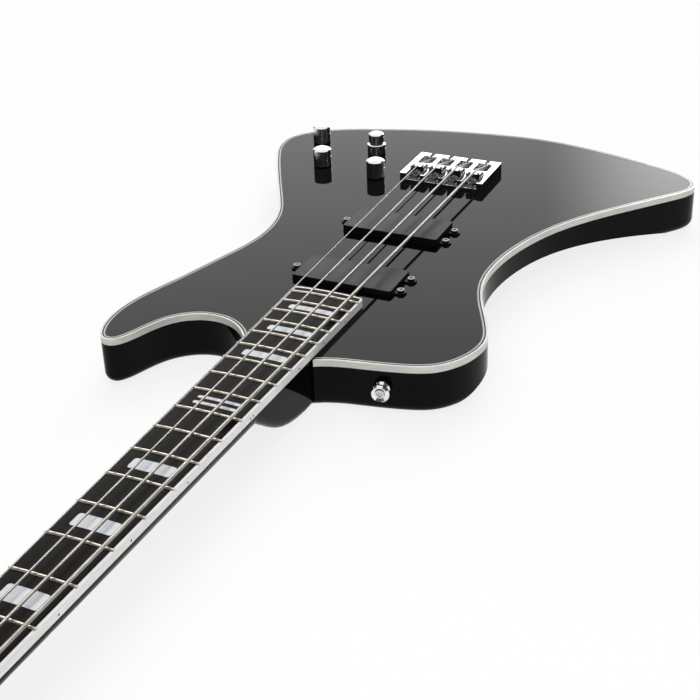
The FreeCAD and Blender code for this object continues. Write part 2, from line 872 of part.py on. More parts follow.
def tuner_plate(middle, worm_line, screws):
    """Plate behind the headstock with two brackets that hold the worm's shaft."""
    back = -size("headstock_thickness")
    low = back - size("plate_thickness")
    centre = Vector((middle.x + worm_line.x) / 2, middle.y, 0)
    half = Vector(size("plate_length") / 2, size("plate_width") / 2, 0)
    plate = block((centre.x - half.x, centre.y - half.y, low), (centre.x + half.x, centre.y + half.y, back))
    grip = size("key_shaft_radius") + size("bracket_thickness") / 2
    for end in (-1, 1):
        near = end * (size("worm_length") / 2 + CLEAR)
        far = near + end * size("bracket_thickness")
        bracket = block((-grip, min(near, far), -grip), (grip, max(near, far), low - worm_line.z))
        bracket.translate(worm_line)
        plate = plate.fuse(bracket)
    reach = Y_AXIS * size("plate_width")
    bar = rod(worm_line - reach, Y_AXIS, size("key_shaft_radius") + SLIP, 2 * reach.Length)
    plate = plate.cut([bar, through(middle, size("post_shaft_radius") + SLIP)])
    inset = size("small_screw_head") + 1
    for side in (-1, 1):
        seat = centre + Vector(inset - half.x, side * (half.y - inset), low)
        screws.append(small_screw(seat, Z_AXIS))
        plate = plate.cut(small_hole(seat - Z_AXIS, Z_AXIS))
        wood_cuts.append(place_shape(small_hole(seat, Z_AXIS)))
    return plate.removeSplitter()


def tuner_key(worm_line, outward):
    """Key: worm between the brackets, shaft outward and a flat oval paddle with round edges."""
    worm = size("worm_length")
    span = worm / 2 + CLEAR + size("bracket_thickness")
    key = rod(worm_line - outward * span, outward, size("key_shaft_radius"), span + size("key_reach"))
    key = key.fuse(rod(worm_line - outward * worm / 2, outward, size("worm_radius"), worm))
    thickness = size("key_thickness")
    oval = Part.Ellipse(Vector(), size("key_radius"), size("key_half_width")).toShape()
    paddle = Part.Face(Part.Wire(oval)).extrude(Z_AXIS * thickness)
    paddle = paddle.makeFillet(thickness * PADDLE_ROUND, paddle.Edges)
    reach = size("key_reach") + size("key_half_width") - 1
    paddle.translate(worm_line + outward * reach - Z_AXIS * thickness / 2)
    return key.fuse(paddle)


def make_tuners():
    """Posts with gears, keys with worms, their plates, bushings and screws."""
    worm_level = -size("headstock_thickness") - size("plate_thickness") - size("worm_radius") - CLEAR
    worm_offset = size("gear_radius") + size("worm_radius") + CLEAR
    gear_low = worm_level - size("gear_thickness") / 2
    plates = []
    bushings = []
    screws = []
    for index, name in enumerate(STRINGS):
        along, across, side = post_place(index)
        middle = Vector(along, across, 0)
        worm_line = Vector(along + worm_offset, across, worm_level)
        feature("tuner_post_" + name, tuner_post(middle, gear_low), HEAD)
        feature("tuner_key_" + name, tuner_key(worm_line, Y_AXIS * side), HEAD)
        bushings.append(tuner_bushing(middle))
        plates.append(tuner_plate(middle, worm_line, screws))
        wood_cuts.append(place_shape(through(middle, size("post_shaft_radius") + SLIP)))
    feature("tuner_housings", Part.makeCompound(plates), HEAD)
    feature("tuner_bushings", Part.makeCompound(bushings), HEAD)
    feature("tuner_screws", Part.makeCompound(screws), HEAD)


def place_shape(shape):
    """A shape drawn on the headstock, moved to its place on the instrument."""
    moved = shape.copy()
    moved.Placement = HEAD.multiply(moved.Placement)
    return moved


def make_truss_rod():
    """Truss rod in the neck's channel, with a round end that carries its adjusting nut."""
    start = "(sizes.neck_joint + sizes.rod_tail)"
    end = "(sizes.scale_length + sizes.nut_length)"
    axis = "(sizes.body_thickness - sizes.rod_depth)"
    bar = box("truss_rod_bar", f"{end} - {start}", "sizes.rod_width", "sizes.rod_height",
              start, "-sizes.rod_width / 2", f"{axis} - sizes.rod_height / 2")
    stub = cylinder("truss_rod_end", "sizes.rod_end_radius", "sizes.rod_end_length + 1",
                    f"{end} - 1", "0", axis)
    keep("truss_rod", fuse("truss_rod", [bar, stub]))
    barrel = cylinder("truss_nut_barrel", "sizes.rod_nut_radius", "sizes.rod_nut_length",
                      f"{end} + sizes.clearance", "0", axis)
    bore = cylinder("truss_nut_bore", "sizes.rod_end_radius + sizes.slip",
                    "sizes.rod_end_length + sizes.clearance", f"{end} - sizes.clearance", "0", axis)
    socket = doc.addObject("Part::Prism", "truss_nut_socket")
    socket.Polygon = 6
    bind(socket, Circumradius="sizes.rod_end_radius * 1.2", Height="sizes.rod_nut_socket + 1")
    place(socket, f"{end} + sizes.clearance + sizes.rod_nut_length - sizes.rod_nut_socket", "0", axis)
    for item in (stub, barrel, bore, socket):
        item.Placement.Rotation = Rotation(Y_AXIS, 90)
    keep("truss_rod_nut", cut("truss_rod_nut", cut("truss_nut_drilled", barrel, bore), socket))
    level = TOP - size("rod_depth")
    half = size("rod_width") / 2 + SLIP
    first = size("neck_joint") + size("rod_tail") - CLEAR
    bed = level - size("rod_height") / 2 - SLIP
    wood_cuts.append(block((first, -half, bed), (HEAD_X + CLEAR, half, TOP + 1)))
    room = size("rod_nut_radius") + 2 * CLEAR
    last = HEAD_X + size("rod_nut_length") + size("rod_nut_radius")
    wood_cuts.append(block((HEAD_X, -room, level - room), (last, room, TOP + 1)))


def make_truss_cover():
    """Cover over the truss rod's nut, screwed to the face of the headstock."""
    length = size("rod_cover_length")
    body = doc.addObject("PartDesign::Body", "truss_cover_plate")
    sketch = polygon_sketch(body, "truss_cover_outline", "XY_Plane",
                            rectangle("sizes.rod_cover_length", "sizes.rod_cover_width"))
    plate = pad(body, sketch, "sizes.rod_cover_thickness")
    round_edges(body, plate, is_upright, "sizes.rod_cover_corner")
    middle = Vector((length + size("nut_length")) / 2, 0, 0)
    body.Placement = HEAD.multiply(Placement(middle, Rotation()))
    holes = []
    inset = size("small_screw_head") + 1
    for end, side in ((-1, -1), (-1, 1), (1, 0)):
        seat = middle + Vector(end * (length / 2 - inset), side * (size("rod_cover_width") / 2 - inset),
                               size("rod_cover_thickness"))
        small_screws.append(place_shape(small_screw(seat, DOWN)))
        holes.append(place_shape(small_hole(seat + Z_AXIS, DOWN)))
    wood_cuts.extend(holes)
    keep("truss_rod_cover", cut("truss_rod_cover", body, gathered("truss_cover_holes", holes)))


# Bridge

def channel_y(index):
    """Middle of a string's channel in the bridge, as an expression."""
    return f"(sizes.bridge_spacing * {string_side(index)})"


def make_bridge():
    """Bridge plate with rails, dividers, thread walls and a slotted tail that holds the ball ends."""
    rear = "(sizes.bridge_front - sizes.bridge_length)"
    base = "sizes.body_thickness"
    height = "sizes.bridge_height"
    length = "sizes.bridge_length"
    width = "sizes.bridge_width"
    edge = "-sizes.bridge_width / 2"
    lane = "(sizes.bridge_spacing - sizes.divider_width)"
    rail = f"(sizes.bridge_width / 2 - sizes.bridge_spacing * 1.5 - {lane} / 2)"
    pieces = [box("bridge_plate", length, width, "sizes.bridge_floor", rear, edge, base),
              box("bridge_tail", "sizes.tail_length", width, height, rear, edge, base),
              box("bridge_rail_treble", length, rail, height, rear, edge, base),
              box("bridge_rail_bass", length, rail, height, rear, f"sizes.bridge_width / 2 - {rail}", base)]
    for side, label in ((-1, "treble"), (0, "middle"), (1, "bass")):
        low = f"sizes.bridge_spacing * {side} - sizes.divider_width / 2"
        pieces.append(box("bridge_divider_" + label, length, "sizes.divider_width", height, rear, low, base))
    holes = []
    screws = []
    seat_x = f"(({rear} + sizes.tail_length - sizes.thread_wall_rear) / 2)"
    for index, name in enumerate(STRINGS):
        middle = channel_y(index)
        pieces.append(box("thread_wall_" + name, "sizes.thread_wall_length", lane, "sizes.thread_wall_height",
                          "-sizes.thread_wall_rear", f"{middle} - {lane} / 2", base))
        holes.append(box("tail_slot_" + name, "sizes.tail_length + 2", "sizes.tail_slot", height,
                         f"{rear} - 1", f"{middle} - sizes.tail_slot / 2", f"{base} + sizes.bridge_floor"))
        pocket = cylinder("ball_pocket_" + name, "sizes.ball_radius + sizes.slip",
                          "sizes.ball_radius * 2 + 1 + sizes.clearance * 1.5",
                          f"{rear} - 1", middle, f"{base} + sizes.ball_rise")
        thread = cylinder("thread_" + name, "sizes.intonation_radius + sizes.slip",
                          "sizes.thread_wall_length + 2", "-sizes.thread_wall_rear - 1", middle,
                          f"{base} + sizes.intonation_rise")
        for item in (pocket, thread):
            item.Placement.Rotation = Rotation(Y_AXIS, 90)
        holes += [pocket, thread]
        holes.append(cylinder("bridge_screw_hole_" + name, "sizes.wood_screw_radius + sizes.slip",
                              "sizes.bridge_floor + 2", seat_x, middle, f"{base} - 1"))
        screws.append(wood_screw(Vector(number(seat_x), number(middle), TOP + size("bridge_floor")), DOWN))
    keep("bridge_base", cut("bridge_base", fuse("bridge_block", pieces), fuse("bridge_holes", holes)))
    feature("bridge_screws", Part.makeCompound(screws))


def saddle_blank(index):
    """Saddle block: flat in front of its crest, sloped behind it, with a groove for the string."""
    rest = saddle_point(index)
    low = TOP + size("bridge_floor") + size("saddle_lift")
    front = size("saddle_front")
    rear = -size("saddle_rear")
    crest = -size("saddle_crest")
    fall = (crest - rear) * math.tan(math.radians(size("saddle_slope")))
    profile = [Vector(rear, 0, low), Vector(front, 0, low), Vector(front, 0, rest.z),
               Vector(crest, 0, rest.z), Vector(rear, 0, rest.z - fall)]
    solid = Part.Face(Part.Wire(lines(profile + profile[:1]))).extrude(Y_AXIS * size("saddle_width"))
    solid.translate(Y_AXIS * (rest.y - size("saddle_width") / 2))
    radius = GAUGES[index] / 2 + 2 * SLIP
    for goal in (nut_point(index), ball_point(index)):
        heading = (goal - rest).normalize()
        solid = solid.cut(rod(rest - heading * radius, heading, radius, size("bridge_length")))
    return solid


def make_saddles():
    """Saddles with two height screws each, and the screws that set their place."""
    floor_top = TOP + size("bridge_floor") + SLIP
    front = size("saddle_front")
    peg_radius = size("height_screw_radius")
    head_radius = size("intonation_head_radius")
    head_length = size("intonation_head_length")
    for index, name in enumerate(STRINGS):
        rest = saddle_point(index)
        axis = Vector(front, rest.y, TOP + size("intonation_rise"))
        bore = rod(axis + X_AXIS, X_AXIS * -1, size("intonation_radius") + SLIP, size("intonation_length"))
        solid = saddle_blank(index).cut(bore)
        screws = []
        for side in (-1, 1):
            foot = Vector(front / 2, rest.y + side * size("height_screw_offset"), floor_top)
            length = rest.z + size("height_screw_rise") - foot.z
            solid = solid.cut(rod(foot, Z_AXIS, peg_radius + SLIP, length))
            socket = rod(foot + Z_AXIS * (length - peg_radius), Z_AXIS, peg_radius / 2, 2 * peg_radius)
            screws.append(rod(foot, Z_AXIS, peg_radius, length).cut(socket))
        feature("saddle_" + name, Part.makeCompound([solid] + screws))
        head = rod(axis, X_AXIS, head_radius, head_length)
        head = head.cut(rod(axis + X_AXIS * head_length / 2, X_AXIS, head_radius / 2, head_length))
        shank = rod(axis, X_AXIS * -1, size("intonation_radius"), size("intonation_length"))
        feature("intonation_screw_" + name, head.fuse(shank).removeSplitter())


# Pickups

def make_pickup(label, x, rise):
    """Pickup cover: a rounded shell open below, with two ears on the bass side and one on the other."""
    height = f"(sizes.pickup_depth + {rise})"
    body = doc.addObject("PartDesign::Body", label + "_shell")
    outline = polygon_sketch(body, label + "_outline", "XY_Plane",
                             rectangle("sizes.pickup_length", "sizes.pickup_width"))
    solid = pad(body, outline, height)
    solid = round_edges(body, solid, is_upright, "sizes.pickup_corner")
    round_edges(body, solid, is_at_height(number(height)), "sizes.pickup_edge")
    hollow = polygon_sketch(body, label + "_hollow", "XY_Plane",
                            rectangle("(sizes.pickup_length - 2 * sizes.pickup_wall)",
                                      "(sizes.pickup_width - 2 * sizes.pickup_wall)"))
    pocket_up(body, hollow, f"{height} - sizes.pickup_wall")
    inner = "(sizes.pickup_width / 2 - sizes.pickup_wall)"
    outer = "(sizes.pickup_width / 2 + sizes.ear_reach + sizes.ear_radius)"
    middle = number(x)
    seats = []
    ears = (("-sizes.ear_spacing / 2", 1), ("sizes.ear_spacing / 2", 1), ("0 * sizes.ear_spacing", -1))
    for count, (along, side) in enumerate(ears):
        left = f"{along} - sizes.ear_radius"
        right = f"{along} + sizes.ear_radius"
        near = f"{side} * {inner}"
        far = f"{side} * {outer}"
        corners = [(left, near), (right, near), (right, far), (left, far)]
        ear = polygon_sketch(body, f"{label}_ear_{count}", "XY_Plane", corners, "sizes.pickup_depth")
        raised = pad(body, ear, "sizes.ear_thickness")
        end = number(far)
        round_edges(body, raised, lambda edge: is_upright(edge) and abs(edge.BoundBox.YMin - end) < 1e-3,
                    "sizes.ear_radius * 0.9")
        reach = side * (size("pickup_width") / 2 + size("ear_reach"))
        seats.append(Vector(middle + number(along), reach, TOP + size("ear_thickness")))
    place(body, x, "0", "sizes.body_thickness - sizes.pickup_depth")
    hole_length = size("ear_thickness") + 2
    holes = [rod(seat + Z_AXIS, DOWN, size("wood_screw_radius") + SLIP, hole_length) for seat in seats]
    keep(label, cut(label, body, gathered(label + "_ear_holes", holes)))
    room = Vector(size("pickup_length") / 2 + CLEAR, size("pickup_width") / 2 + CLEAR, 0)
    floor = TOP - size("pickup_cavity_depth")
    wood_cuts.append(block((middle - room.x, -room.y, floor), (middle + room.x, room.y, TOP + 1)))
    coils = []
    coil_low = f"sizes.body_thickness + {rise} - sizes.pickup_wall - sizes.clearance - sizes.coil_height"
    for side, half in ((-1, "rear"), (1, "front")):
        low = f"{x} + {side} * (sizes.coil_length / 2 + sizes.clearance) - sizes.coil_length / 2"
        coils.append(box(f"{label}_{half}_coil", "sizes.coil_length", "sizes.coil_width", "sizes.coil_height",
                         low, "-sizes.coil_width / 2", coil_low))
    return [wood_screw(seat, DOWN) for seat in seats], coils


def make_pickups():
    """Both pickups, their coils, screws and the leads to the control cavity."""
    screws = []
    coils = []
    for label in ("neck_pickup", "bridge_pickup"):
        more_screws, more_coils = make_pickup(label + "_cover", f"sizes.{label}_x", f"sizes.{label}_rise")
        screws += more_screws
        coils += more_coils
    feature("pickup_screws", Part.makeCompound(screws))
    compound("pickup_coils", coils)
    level = TOP - size("pickup_cavity_depth") + size("lead_hole_radius")
    start = Vector(size("neck_pickup_x"), -size("core_width") / 4, level)
    end = on_body(VOLUME_POT) + Vector(size("knob_radius"), size("knob_radius"), level)
    run = end - start
    wood_cuts.append(rod(start, run, size("lead_hole_radius"), run.Length))
    leads = []
    sag = Z_AXIS * (size("lead_radius") + CLEAR - size("lead_hole_radius") * 0.9)
    aside = run.cross(Z_AXIS).normalize() * (size("lead_radius") + CLEAR / 2)
    share = (size("neck_pickup_x") - size("bridge_pickup_x")) / (start.x - end.x)
    for side, begin in ((-1, start), (1, start + run * share)):
        leads.append(rod(begin + sag + aside * side, run, size("lead_radius"), (end - begin).Length))
    feature("pickup_leads", Part.makeCompound(leads))


# Controls

SET_SCREW_WAY = Vector(-0.3, 0.95, 0).normalize()


def make_knob(label, spot, base, radius, height, dome, shaft, shaft_low):
    """Knob on its shaft with a set screw; a knob with no dome is a ring whose shaft is a tube."""
    at = on_body(spot)
    x, y = (f"{value:.6f}" for value in (at.x, at.y))
    column = cylinder(label + "_column", radius, height, x, y, base)
    reach = f"({height} - sizes.clearance)"
    if dome is not None:
        reach = f"({height} * {SHAFT_END})"
        ball = doc.addObject("Part::Sphere", label + "_dome")
        bulge = f"(({radius})^2 + ({dome})^2) / (2 * {dome})"
        bind(ball, Radius=bulge)
        place(ball, x, y, f"{base} + {height} - {bulge}")
        column = common(label + "_domed", column, ball)
    holes = []
    if shaft == "sizes.shaft_radius":
        holes.append(cylinder(label + "_recess", "sizes.knob_recess_radius", "sizes.knob_recess_height + 1",
                              x, y, f"{base} - 1"))
    holes.append(cylinder(label + "_bore", f"{shaft} + sizes.slip", f"{reach} + 1 + sizes.clearance * 2",
                          x, y, f"{base} - 1"))
    level = f"{base} + {height} * {SET_SCREW_LEVEL}"
    start = f"({shaft} + 2 * sizes.slip)"
    grip = cylinder(label + "_screw_hole", "sizes.set_screw_radius + sizes.slip", radius, x, y, level)
    peg = cylinder(label + "_set_screw", "sizes.set_screw_radius", f"{radius} - {start} - sizes.clearance",
                   f"{x} + {start} * {SET_SCREW_WAY.x}", f"{y} + {start} * {SET_SCREW_WAY.y}", level)
    for item in (grip, peg):
        item.Placement.Rotation = Rotation(Z_AXIS, SET_SCREW_WAY)
    holes.append(grip)
    stem = cylinder(label + "_stem", shaft, f"{base} + {reach} - ({shaft_low})", x, y, shaft_low)
    if dome is None:
        inner = cylinder(label + "_stem_bore", "sizes.inner_shaft_radius + sizes.slip",
                         "sizes.body_thickness", x, y, f"{shaft_low} - 1")
        stem = cut(label + "_tube", stem, inner)
    compound(label, [cut(label + "_shell", column, fuse(label + "_holes", holes)), stem, peg])


def make_knobs():
    """Three single knobs, and a stacked pair whose lower ring turns apart from its upper knob."""
    rise = "(sizes.body_thickness + sizes.knob_rise)"
    deck = "(sizes.body_thickness - sizes.cavity_ceiling)"
    shallow = f"{deck} - sizes.pot_height * 0.7"
    deep = f"{deck} - sizes.pot_height * 1.7"
    shaft = "sizes.shaft_radius"
    for label, spot in (("volume_knob", VOLUME_POT), ("blend_knob", BLEND_POT), ("mid_knob", MID_POT)):
        make_knob(label, spot, rise, "sizes.knob_radius", "sizes.knob_height", "sizes.knob_dome",
                  shaft, shallow)
    make_knob("bass_knob", TONE_POT, rise, "sizes.ring_radius", "sizes.ring_height", None, shaft, shallow)
    make_knob("treble_knob", TONE_POT, f"({rise} + sizes.ring_height + sizes.stack_gap)",
              "sizes.top_knob_radius", "sizes.top_knob_height", "sizes.top_knob_dome",
              "sizes.inner_shaft_radius", deep)


def make_pots():
    """Pots under the knobs, one of them double, and the nuts that hold them to the top."""
    roof = TOP - size("cavity_ceiling")
    bushing = size("pot_bushing_radius")
    corner = Vector(size("pot_nut_radius"), 0, 0)
    hexagon = [Rotation(Z_AXIS, 60 * side).multVec(corner) for side in range(7)]
    pots = []
    nuts = []
    for spot, decks in ((VOLUME_POT, 1), (BLEND_POT, 1), (MID_POT, 1), (TONE_POT, 2)):
        middle = on_body(spot)
        depth = size("pot_height") * decks
        case = rod(middle + Z_AXIS * (roof - depth), Z_AXIS, size("pot_radius"), depth)
        neck = TOP + size("pot_bushing_rise") - roof
        case = case.fuse(rod(middle + Z_AXIS * (roof - 1), Z_AXIS, bushing, neck + 1))
        bore_low = roof - depth + size("pot_height") / 5
        pots.append(case.cut(rod(middle + Z_AXIS * bore_low, Z_AXIS, size("shaft_radius") + SLIP, TOP)))
        nut = prism(lines(hexagon), size("pot_nut_height"))
        nut.translate(middle + Z_AXIS * TOP)
        nuts.append(nut.cut(rod(middle, Z_AXIS, bushing + SLIP, 2 * TOP)))
        wood_bore(middle, Z_AXIS, bushing + SLIP, TOP + 1)
    feature("pots", Part.makeCompound(pots))
    feature("pot_nuts", Part.makeCompound(nuts))


def make_cavity():
    """Control cavity with its screwed cover, the battery and the circuit board."""
    spots = [on_body(spot) for spot in (VOLUME_POT, BLEND_POT, MID_POT, TONE_POT)]
    roof = TOP - size("cavity_ceiling")
    thickness = size("cover_thickness")
    loop = Part.Wire(lines(spots + spots[:1]))
    lid = Part.Face(loop.makeOffset2D(size("cover_margin")))
    lid_room = Part.Face(loop.makeOffset2D(size("cover_margin") + 2 * SLIP))
    wood_cuts.append(Part.Face(loop.makeOffset2D(size("cavity_margin"))).extrude(Z_AXIS * roof))
    wood_cuts.append(lid_room.extrude(Z_AXIS * thickness))
    cover = lid.extrude(Z_AXIS * thickness)
    centre = (spots[0] + spots[1] + spots[2] + spots[3]) * 0.25
    head_height = size("small_screw_head_height")
    ledge = (size("cavity_margin") + size("cover_margin")) / 2
    for spot in spots:
        seat = spot + (spot - centre).normalize() * ledge + Z_AXIS * head_height
        small_screws.append(small_screw(seat, Z_AXIS))
        well = rod(seat - Z_AXIS * thickness, Z_AXIS, size("small_screw_head") + SLIP, thickness)
        cover = cover.cut([well, small_hole(seat - Z_AXIS, Z_AXIS)])
        wood_cuts.append(small_hole(seat, Z_AXIS))
    feature("cavity_cover", cover)
    middle = on_body(BATTERY_MIDDLE)
    keep("battery", box("battery", "sizes.battery_width", "sizes.battery_length", "sizes.battery_height",
                        f"{middle.x:.6f} - sizes.battery_width / 2",
                        f"{middle.y:.6f} - sizes.battery_length / 2",
                        "sizes.cover_thickness + sizes.clearance"))
    middle = on_body(BOARD_MIDDLE)
    keep("preamp_board", box("preamp_board", "sizes.circuit_length", "sizes.circuit_width",
                             "sizes.circuit_thickness", f"{middle.x:.6f} - sizes.circuit_length / 2",
                             f"{middle.y:.6f} - sizes.circuit_width / 2",
                             "sizes.body_thickness - sizes.cavity_ceiling - sizes.circuit_thickness"))


# Outline, jack and strap buttons

def on_body(spot):
    """A place drawn with the outline, stretched to the body's length and width."""
    along = [point[0] for point in OUTLINE]
    across = [point[1] for point in OUTLINE]
    stretch_x = size("body_length") / (max(along) - min(along))
    stretch_y = size("body_width") / (max(across) - min(across))
    return Vector(size("neck_joint") + (spot[0] - OUTLINE[0][0]) * stretch_x, spot[1] * stretch_y, 0)


def inward_at(curve, point):
    """Direction into the body from a point on its outline."""
    way = curve.tangent(curve.parameter(point))[0]
    return Vector(way.y, -way.x, 0).normalize()


def outline_curve(inset):
    """The body's outline, drawn in by an inset."""
    points = [on_body(point) for point in OUTLINE]
    curve = spline(points)
    if inset == 0:
        return curve
    return spline([point + inward_at(curve, point) * inset for point in points])


def outline_prism(inset, low, high):
    """Body-shaped prism between two heights; one that is drawn in runs on past the neck's joint."""
    curve = outline_curve(inset)
    start = curve.StartPoint
    end = curve.EndPoint
    loop = [end, start]
    if inset > 0:
        past = X_AXIS * size("core_width")
        loop = [end, end + past, start + past, start]
    solid = prism([curve.toShape()] + lines(loop), high - low)
    solid.translate(Z_AXIS * low)
    return solid


def edge_seat(spot):
    """Point of the outline nearest to a place, at half the body's height, and the direction into the body."""
    curve = outline_curve(0)
    parameter = curve.parameter(on_body(spot))
    point = curve.value(parameter)
    return point + Z_AXIS * TOP / 2, inward_at(curve, point)


def make_strap_buttons():
    """Strap buttons on the bass horn and the tail, each with one screw in its dished face."""
    buttons = []
    screws = []
    height = size("button_height")
    dish = height - size("button_dish")
    head_seat = dish - size("wood_screw_head_height") / 2
    hole = size("strap_screw_radius") + SLIP
    waist = size("button_waist_radius")
    flange = size("button_flange_radius")
    rim = height - size("button_flange_height")
    well = size("strap_screw_head") + SLIP
    turns = ((hole, 0), (size("button_base_radius"), 0), (waist, height / 4), (waist, rim - height / 6),
             (flange, rim), (flange, (rim + height) / 2), (flange - height / 8, height), (well, dish),
             (well, head_seat), (hole, head_seat))
    profile = [Vector(radius, 0, level) for radius, level in turns]
    turned = Part.Face(Part.Wire(lines(profile + profile[:1]))).revolve(Vector(), Z_AXIS, 360)
    for spot in (HORN_BUTTON, TAIL_BUTTON):
        seat, inward = edge_seat(spot)
        button = turned.copy()
        button.Placement = Placement(seat, Rotation(Z_AXIS, inward * -1))
        buttons.append(button)
        head = seat - inward * head_seat
        screws.append(screw(head, inward, size("strap_screw_radius"), size("strap_screw_length") + head_seat,
                            size("strap_screw_head"), size("wood_screw_head_height")))
        wood_bore(seat, inward, size("strap_screw_radius"), size("strap_screw_length") + 1, over=2)
    feature("strap_buttons", Part.makeCompound(buttons))
    feature("strap_screws", Part.makeCompound(screws))


def make_jack():
    """Barrel jack in the edge of the treble side, open for a plug."""
    seat, inward = edge_seat(JACK_SEAT)
    flange = size("jack_flange_thickness")
    length = size("jack_length")
    barrel = rod(seat - inward * flange, inward, size("jack_flange_radius"), flange)
    barrel = barrel.fuse(rod(seat, inward, size("jack_radius"), length))
    mouth = seat - inward * (flange + 1)
    feature("output_jack", barrel.cut(rod(mouth, inward, size("plug_radius"), length - flange)))
    wood_bore(seat, inward, size("jack_radius"), length + 1, over=size("back_round"))


# Wood

def neck_section(x):
    """Closed section of the neck at x: flat under the fretboard, half an ellipse behind."""
    joint = size("neck_joint")
    share = (x - joint) / (NUT_X - joint)
    depth = size("neck_depth_heel") + (size("neck_depth_nut") - size("neck_depth_heel")) * share
    side = Vector(x, board_half(x), TOP)
    middle = Vector(x, 0, TOP)
    ellipse = Part.Ellipse(side, middle - Z_AXIS * depth, middle)
    arc = Part.ArcOfEllipse(ellipse, 0, math.pi).toShape()
    return Part.Wire([arc] + lines([middle * 2 - side, side]))


def heel():
    """Heel under the neck: its underside curves up from the back of the body, its long edges are round."""
    joint = size("neck_joint")
    root = joint - CORE_HALF / 2
    points = [Vector(joint + along * size("heel_length"), 0, rise * TOP) for along, rise in HEEL_CURVE]
    under = spline(points)
    top = [points[-1], Vector(points[-1].x, 0, TOP), Vector(root, 0, TOP), Vector(root, 0, 0), points[0]]
    wide = board_half(root)
    solid = Part.Face(Part.Wire([under.toShape()] + lines(top))).extrude(Y_AXIS * 2 * wide)
    solid.translate(Y_AXIS * -wide)
    end = points[-1].x
    plan = [Vector(root, -board_half(root), 0), Vector(end, -board_half(end), 0),
            Vector(end, board_half(end), 0), Vector(root, board_half(root), 0)]
    solid = solid.common(prism(lines(plan + plan[:1]), TOP))
    low = [edge for edge in solid.Edges
           if edge.BoundBox.XMin > joint - 1 and edge.BoundBox.XLength > 1 and edge.BoundBox.ZMax < TOP - 1]
    return solid.makeFillet(size("heel_round"), low)


def headstock():
    """Headstock blank, tilted back behind the nut."""
    length = size("headstock_length")
    half = size("headstock_width") / 2
    upper = [Vector(along * length, across * half, 0) for along, across in HEADSTOCK_HALF]
    lower = [Vector(point.x, -point.y, 0) for point in reversed(upper[:-1])]
    curve = spline(upper + lower)
    solid = prism([curve.toShape()] + lines([curve.EndPoint, curve.StartPoint]), size("headstock_thickness"))
    solid.translate(Z_AXIS * -size("headstock_thickness"))
    return place_shape(solid)


def belly_cut():
    """Shallow round hollow that thins the back along the bass side."""
    curve = outline_curve(0)
    middle = curve.value(curve.parameter(on_body(BELLY_MIDDLE)))
    outward = inward_at(curve, middle) * -1
    ruling = (outward * size("belly_reach") + Z_AXIS * size("belly_depth")).normalize()
    down = (outward * size("belly_depth") - Z_AXIS * size("belly_reach")).normalize()
    axis = middle + Z_AXIS * size("belly_depth") + down * size("belly_radius")
    return rod(axis - ruling * 2 * size("belly_reach"), ruling, size("belly_radius"), 4 * size("belly_reach"))


def without(solid, tools):
    """A solid less those of the tools that reach it."""
    near = [tool for tool in tools if tool.BoundBox.intersect(solid.BoundBox)]
    return solid.cut(near)


def make_wood():
    """Neck beam with heel and headstock, the wings glued to it, and the pale lines round the top."""
    blank = outline_prism(0, 0, TOP)
    on_back = is_at_height(0)
    rim = [edge for edge in blank.Edges if on_back(edge) and isinstance(edge.Curve, Part.BSplineCurve)]
    blank = blank.makeFillet(size("back_round"), rim)
    reach = 4 * size("body_length")
    beam = block((-reach, -CORE_HALF, -TOP), (reach, CORE_HALF, 2 * TOP))
    neck_gap = block((size("neck_joint") / 2, -CORE_HALF, -TOP), (reach, CORE_HALF, 2 * TOP))
    first = size("binding_width")
    second = first + size("line_gap")
    third = second + size("purfling_width")
    low = TOP - size("binding_height")
    binding = outline_prism(0, low, TOP).cut(outline_prism(first, low - 1, TOP + 1)).cut(neck_gap)
    low = TOP - size("purfling_depth")
    line = outline_prism(second, low, TOP).cut(outline_prism(third, low - 1, TOP + 1)).cut(neck_gap)
    feature("body_binding", binding)
    feature("purfling", line)
    tools = wood_cuts + [binding, line]
    bass = blank.common(block((-reach, CORE_HALF, -TOP), (reach, reach, 2 * TOP)))
    split = size("wing_split")
    rear = blank.common(block((-reach, -reach, -TOP), (split, -CORE_HALF, 2 * TOP)))
    front = blank.common(block((split, -reach, -TOP), (reach, -CORE_HALF, 2 * TOP)))
    feature("bass_wing", without(bass, tools + [belly_cut()]))
    feature("treble_wing", without(rear, tools))
    feature("treble_horn", without(front, tools))
    shaft = Part.makeLoft([neck_section(x) for x in (size("neck_joint") - CORE_HALF / 2, HEAD_X)], True, True)
    core = blank.common(beam).fuse([shaft, heel(), headstock()])
    feature("neck_core", without(core, tools))


small_screws = []
make_fretboard()
make_nut()
make_strings()
make_tuners()
make_truss_rod()
make_truss_cover()
make_bridge()
make_saddles()
make_pickups()
make_knobs()
make_pots()
make_cavity()
make_strap_buttons()
make_jack()
feature("cover_screws", Part.makeCompound(small_screws))
make_wood()
doc.recompute()

# Every object must be sound before anything is written.
for thing in doc.Objects:
    if "Invalid" in thing.State or "Error" in thing.State:
        raise RuntimeError(thing.Label + " failed: " + str(thing.State))
for label, thing in nodes.items():
    if thing.Shape.isNull() or not thing.Shape.isValid() or not thing.Shape.Solids:
        raise RuntimeError(label + " has no sound shape")
os.makedirs("parts", exist_ok=True)
for label, thing in nodes.items():
    thing.Shape.exportStep(f"parts/{label}.step")
    print(label, len(thing.Shape.Solids), "solids", round(thing.Shape.Volume), "cubic mm")
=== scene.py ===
# %% [markdown]
# # Dressing an electric bass guitar
# The solids of the instrument come ready made: wood, hardware and strings, each in its place.
# This lesson gives every one of them its finish, turns the knurled knobs as surfaces of their own,
# and sets up the light and the camera of a product photograph.

# %% The solids
import json
import math

import bpy
import numpy as np
from mathutils import Matrix, Vector


